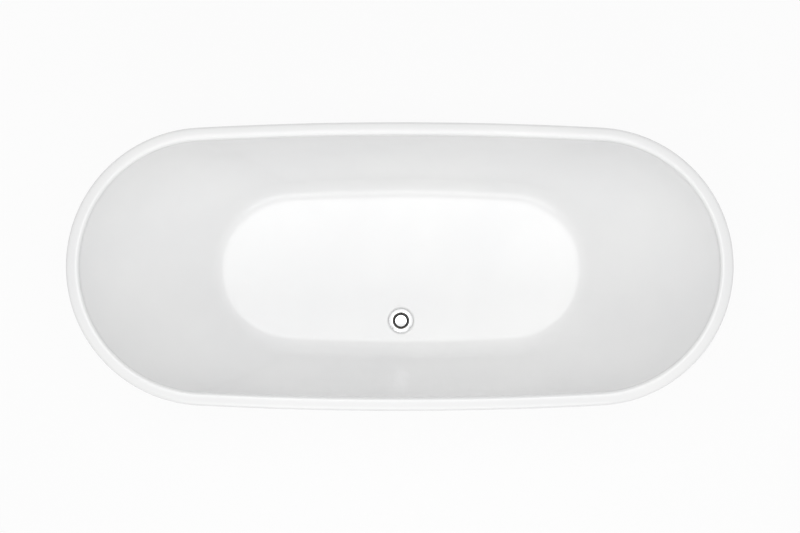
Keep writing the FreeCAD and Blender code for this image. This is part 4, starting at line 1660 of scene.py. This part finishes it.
@dataclass
class Screws(SubAssembly):
    """Pan-head screws with a hexagonal socket, alike in head and thread."""

    shank: float = 0.0024
    head: float = 0.0046
    head_height: float = 0.0026
    head_round: float = 0.0012
    ease: float = 0.0002
    socket: float = 0.0016
    socket_depth: float = 0.0015
    pitch: float = 0.0018
    thread_depth: float = 0.0006
    head_facets: int = 48
    thread_facets: int = 16
    rail_count: int = 4
    pair_spacing: float = 0.0160
    corners: tuple[tuple[int, int], ...] = ((-1, -1), (-1, 1), (1, -1), (1, 1))  # end and side

    def build_row(self, node: str, length: float, places: Sequence[Matrix]) -> None:
        """Makes alike screws, each with its head below its place and its shank above.

        Args:
            node: CAD node that they stand for.
            length: Length of the shank.
            places: Where the screws go.
        """
        tip = -self.head_height
        section = [
            (0.0, tip + self.socket_depth),
            (self.socket, tip + self.socket_depth),
            (self.socket, tip, self.ease),
            (self.head, tip, self.head_round),
            (self.head, 0.0, self.ease),
            (0.0, 0.0),
        ]
        screw = Blank().turn(section, self.head_facets)
        screw.broach_hexagon(self.socket)
        span = (0.0, length)
        screw.thread(self.shank, self.thread_depth, span, self.pitch, 0.0, self.thread_facets)
        self.piece(f"{node}_threaded", screw.copied(places), node)

    def build(self) -> None:
        """Makes the screws of the board, of the brackets and of the blocks."""
        self.build_board_screws()
        self.build_bar_screws()
        self.build_block_screws()

    def build_board_screws(self) -> None:
        """Makes the upright screws that hold the rails to the board."""
        low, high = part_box("board_screws")
        first, last = low.x + self.head, high.x - self.head
        step = (last - first) / (self.rail_count - 1)
        seat = low.z + self.head_height
        rows = (low.y + self.head, high.y - self.head)
        columns = [first + step * index for index in range(self.rail_count)]
        places = [moved(x, y, seat) for x in columns for y in rows]
        self.build_row("board_screws", high.z - seat, places)

    def build_bar_screws(self) -> None:
        """Makes the screws that go down through the brackets into the cross bars."""
        low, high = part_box("bar_screws")
        seat = high.z - self.head_height
        x, y = high.x - self.head, high.y - self.head
        over = Matrix.Rotation(math.pi, 4, "X")
        places = [moved(end * x, side * y, seat) @ over for end, side in self.corners]
        self.build_row("bar_screws", seat - low.z, places)

    def build_block_screws(self) -> None:
        """Makes the level screws that go out through the brackets into the timber."""
        bracket_low, bracket_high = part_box("skirt_brackets")
        low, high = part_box("block_screws")
        thickness = levels_of("bar_screws")[1] - bracket_low.z - self.head_height
        inner, height = bracket_high.y - thickness, (low.z + high.z) / 2
        far = high.x - self.head
        places = []
        for end, side in self.corners:
            outwards = Matrix.Rotation(-side * QUARTER, 4, "X")
            for x in (far, far - self.pair_spacing):
                places.append(moved(end * x, side * inner, height) @ outwards)
        self.build_row("block_screws", high.y - inner, places)


@dataclass
class EasedNodes(SubAssembly):
    """Board, tubes, brackets, end caps, back nut and blocks: CAD shapes with eased edges."""

    eases: tuple[tuple[float, tuple[str, ...]], ...] = (
        (0.0012, ("base_board",)),
        (0.0007, ("front_rail", "back_rail")),
        (0.0007, ("head_cross_bar", "foot_cross_bar", "centre_cross_bar")),
        (0.0006, ("skirt_brackets",)),
        (0.0009, ("tube_end_caps",)),
        (0.0006, ("back_nut",)),
        (0.0015, ("skirt_block_1", "skirt_block_2", "skirt_block_3", "skirt_block_4")),
    )
    ease_steps: int = 3
    flat_fold: float = math.radians(1.5)
    edge_fold: float = math.radians(50)
    least_length: float = 2.4  # shortest edge that is eased, in widths of the easing
    planed: float = 0.0003  # faces with more area than this are flat
    square: float = 0.99999  # so are faces whose direction lies this much along one axis

    def build(self) -> None:
        """Makes an eased copy of each shape."""
        for ease, nodes in self.eases:
            for node in nodes:
                self.build_eased(node, ease)

    def build_eased(self, node: str, ease: float) -> None:
        """Makes an eased copy of one shape.

        Args:
            node: CAD node to copy.
            ease: Width of the easing.
        """
        bm = bmesh.new()
        bm.from_mesh(frame["nodes"][node].data)
        bmesh.ops.remove_doubles(bm, verts=bm.verts[:], dist=WELD)
        bmesh.ops.dissolve_limit(
            bm, angle_limit=self.flat_fold, verts=bm.verts[:], edges=bm.edges[:]
        )
        corners = [edge for edge in bm.edges if self.is_corner(edge, ease)]
        round_off(bm, corners, ease, self.ease_steps, clamp=True)
        bmesh.ops.dissolve_degenerate(bm, dist=WELD, edges=bm.edges[:])
        idle = [vert for vert in bm.verts if len(vert.link_edges) == 2]
        bmesh.ops.dissolve_verts(bm, verts=idle)
        for face in self.piece(f"{node}_eased", bm, node).data.polygons:
            slanted = max(map(abs, face.normal)) < self.square
            face.use_smooth = face.area < self.planed and slanted

    def is_corner(self, edge: Edge, ease: float) -> bool:
        """Tells whether an edge is a sharp outer corner that is long enough to ease."""
        long = edge.is_manifold and edge.calc_length() >= self.least_length * ease
        return long and edge.is_convex and edge.calc_face_angle() > self.edge_fold


# Studio


@dataclass(frozen=True)
class Lamp:
    """Large soft lamp aimed at the bath."""

    name: str
    power: float
    size: tuple[float, float]
    place: Triple

    def hang(self) -> None:
        """Puts the lamp in the scene."""
        data = bpy.data.lights.new(self.name, "AREA")
        data.shape = "RECTANGLE"
        data.size, data.size_y = self.size
        data.energy = self.power
        lamp = bpy.data.objects.new(self.name, data)
        lamp.location = self.place
        lamp.rotation_euler = (-Vector(self.place)).to_track_quat("-Z", "Y").to_euler()
        bpy.context.scene.collection.objects.link(lamp)


@dataclass
class Studio:
    """Pale floor, soft overhead light and the camera straight above the bath."""

    camera_place: Triple = (0.023, -0.050, 3.398)
    camera_shift: tuple[float, float] = (-0.0110, 0.0246)  # keeps the rim in the picture's middle
    lens: float = 50.0
    sensor: float = 36.0
    floor_radius: float = 12.0
    floor_facets: int = 96
    floor_colour: Colour = (0.86, 0.86, 0.86)
    floor_roughness: float = 0.9
    shadow_share: float = 0.10  # how much of the floor's own shading the camera sees
    white: tuple[float, ...] = (1.0, 1.0, 1.0, 1.0)
    sky_light: float = 0.49
    lamps: tuple[Lamp, ...] = (
        Lamp("soft_key", 63.0, (3.2, 2.3), (0.0, 0.3, 4.3)),
        Lamp("front_fill", 34.0, (3.0, 2.0), (0.0, -3.0, 3.2)),
    )

    def build(self) -> None:
        """Sets up the camera, the lamps, the sky and the floor."""
        bpy.context.scene.view_settings.view_transform = "Standard"
        self.add_camera()
        for lamp in self.lamps:
            lamp.hang()
        self.add_sky()
        self.add_floor()

    def add_camera(self) -> None:
        """Hangs the camera over the bath, looking straight down."""
        data = bpy.data.cameras.new("overhead_camera")
        data.lens = self.lens
        data.sensor_width = self.sensor
        data.shift_x, data.shift_y = self.camera_shift
        camera = bpy.data.objects.new("overhead_camera", data)
        camera.location = self.camera_place
        bpy.context.scene.collection.objects.link(camera)
        bpy.context.scene.camera = camera

    def add_sky(self) -> None:
        """Makes an even sky that looks white and lights the object at a plain level."""
        world = bpy.data.worlds.new("soft_sky")
        bpy.context.scene.world = world
        sky = Nodes(world)
        light, shown = (
            sky.node("ShaderNodeBackground", None, {"Color": self.white, "Strength": strength})
            for strength in (self.sky_light, 1.0)
        )
        sky.show("World Output", sky.background_rays(), light.outputs[0], shown.outputs[0])

    def add_floor(self) -> None:
        """Lays a pale floor that looks white and keeps the object's shadow."""
        bm = bmesh.new()
        bmesh.ops.create_circle(
            bm, cap_ends=True, segments=self.floor_facets, radius=self.floor_radius
        )
        mesh = bpy.data.meshes.new("studio_floor")
        bm.to_mesh(mesh)
        bm.free()
        floor = bpy.data.objects.new("studio_floor", mesh)
        bpy.context.scene.collection.objects.link(floor)
        shader = Shader("studio_floor")
        shader.set(Base_Color=(*self.floor_colour, 1.0), Roughness=self.floor_roughness)
        glow = shader.node("ShaderNodeEmission", None, {"Color": self.white, "Strength": 1.0})
        share = shader.background_rays() * (1 - self.shadow_share)
        shader.show("Material Output", share, shader.surface.outputs[0], glow.outputs[0])
        mesh.materials.append(shader.material)


def main() -> None:
    """Builds the sub-assemblies in order, dresses them and sets up the studio."""
    logging.basicConfig(level=logging.INFO, format="%(name)s: %(message)s")
    paints = mix_paints()
    dress_nodes(paints)
    feet = [LevellingFoot(number) for number in FEET]
    fittings = [WasteFitting(), PushPlug(), EasedNodes(), Screws(), FootNuts()]
    for assembly in [BasinMoulding(), SkirtMoulding(), *fittings, *feet]:
        assembly.build()
        assembly.dress(paints)
    Studio().build()


if __name__ == "__main__":
    main()
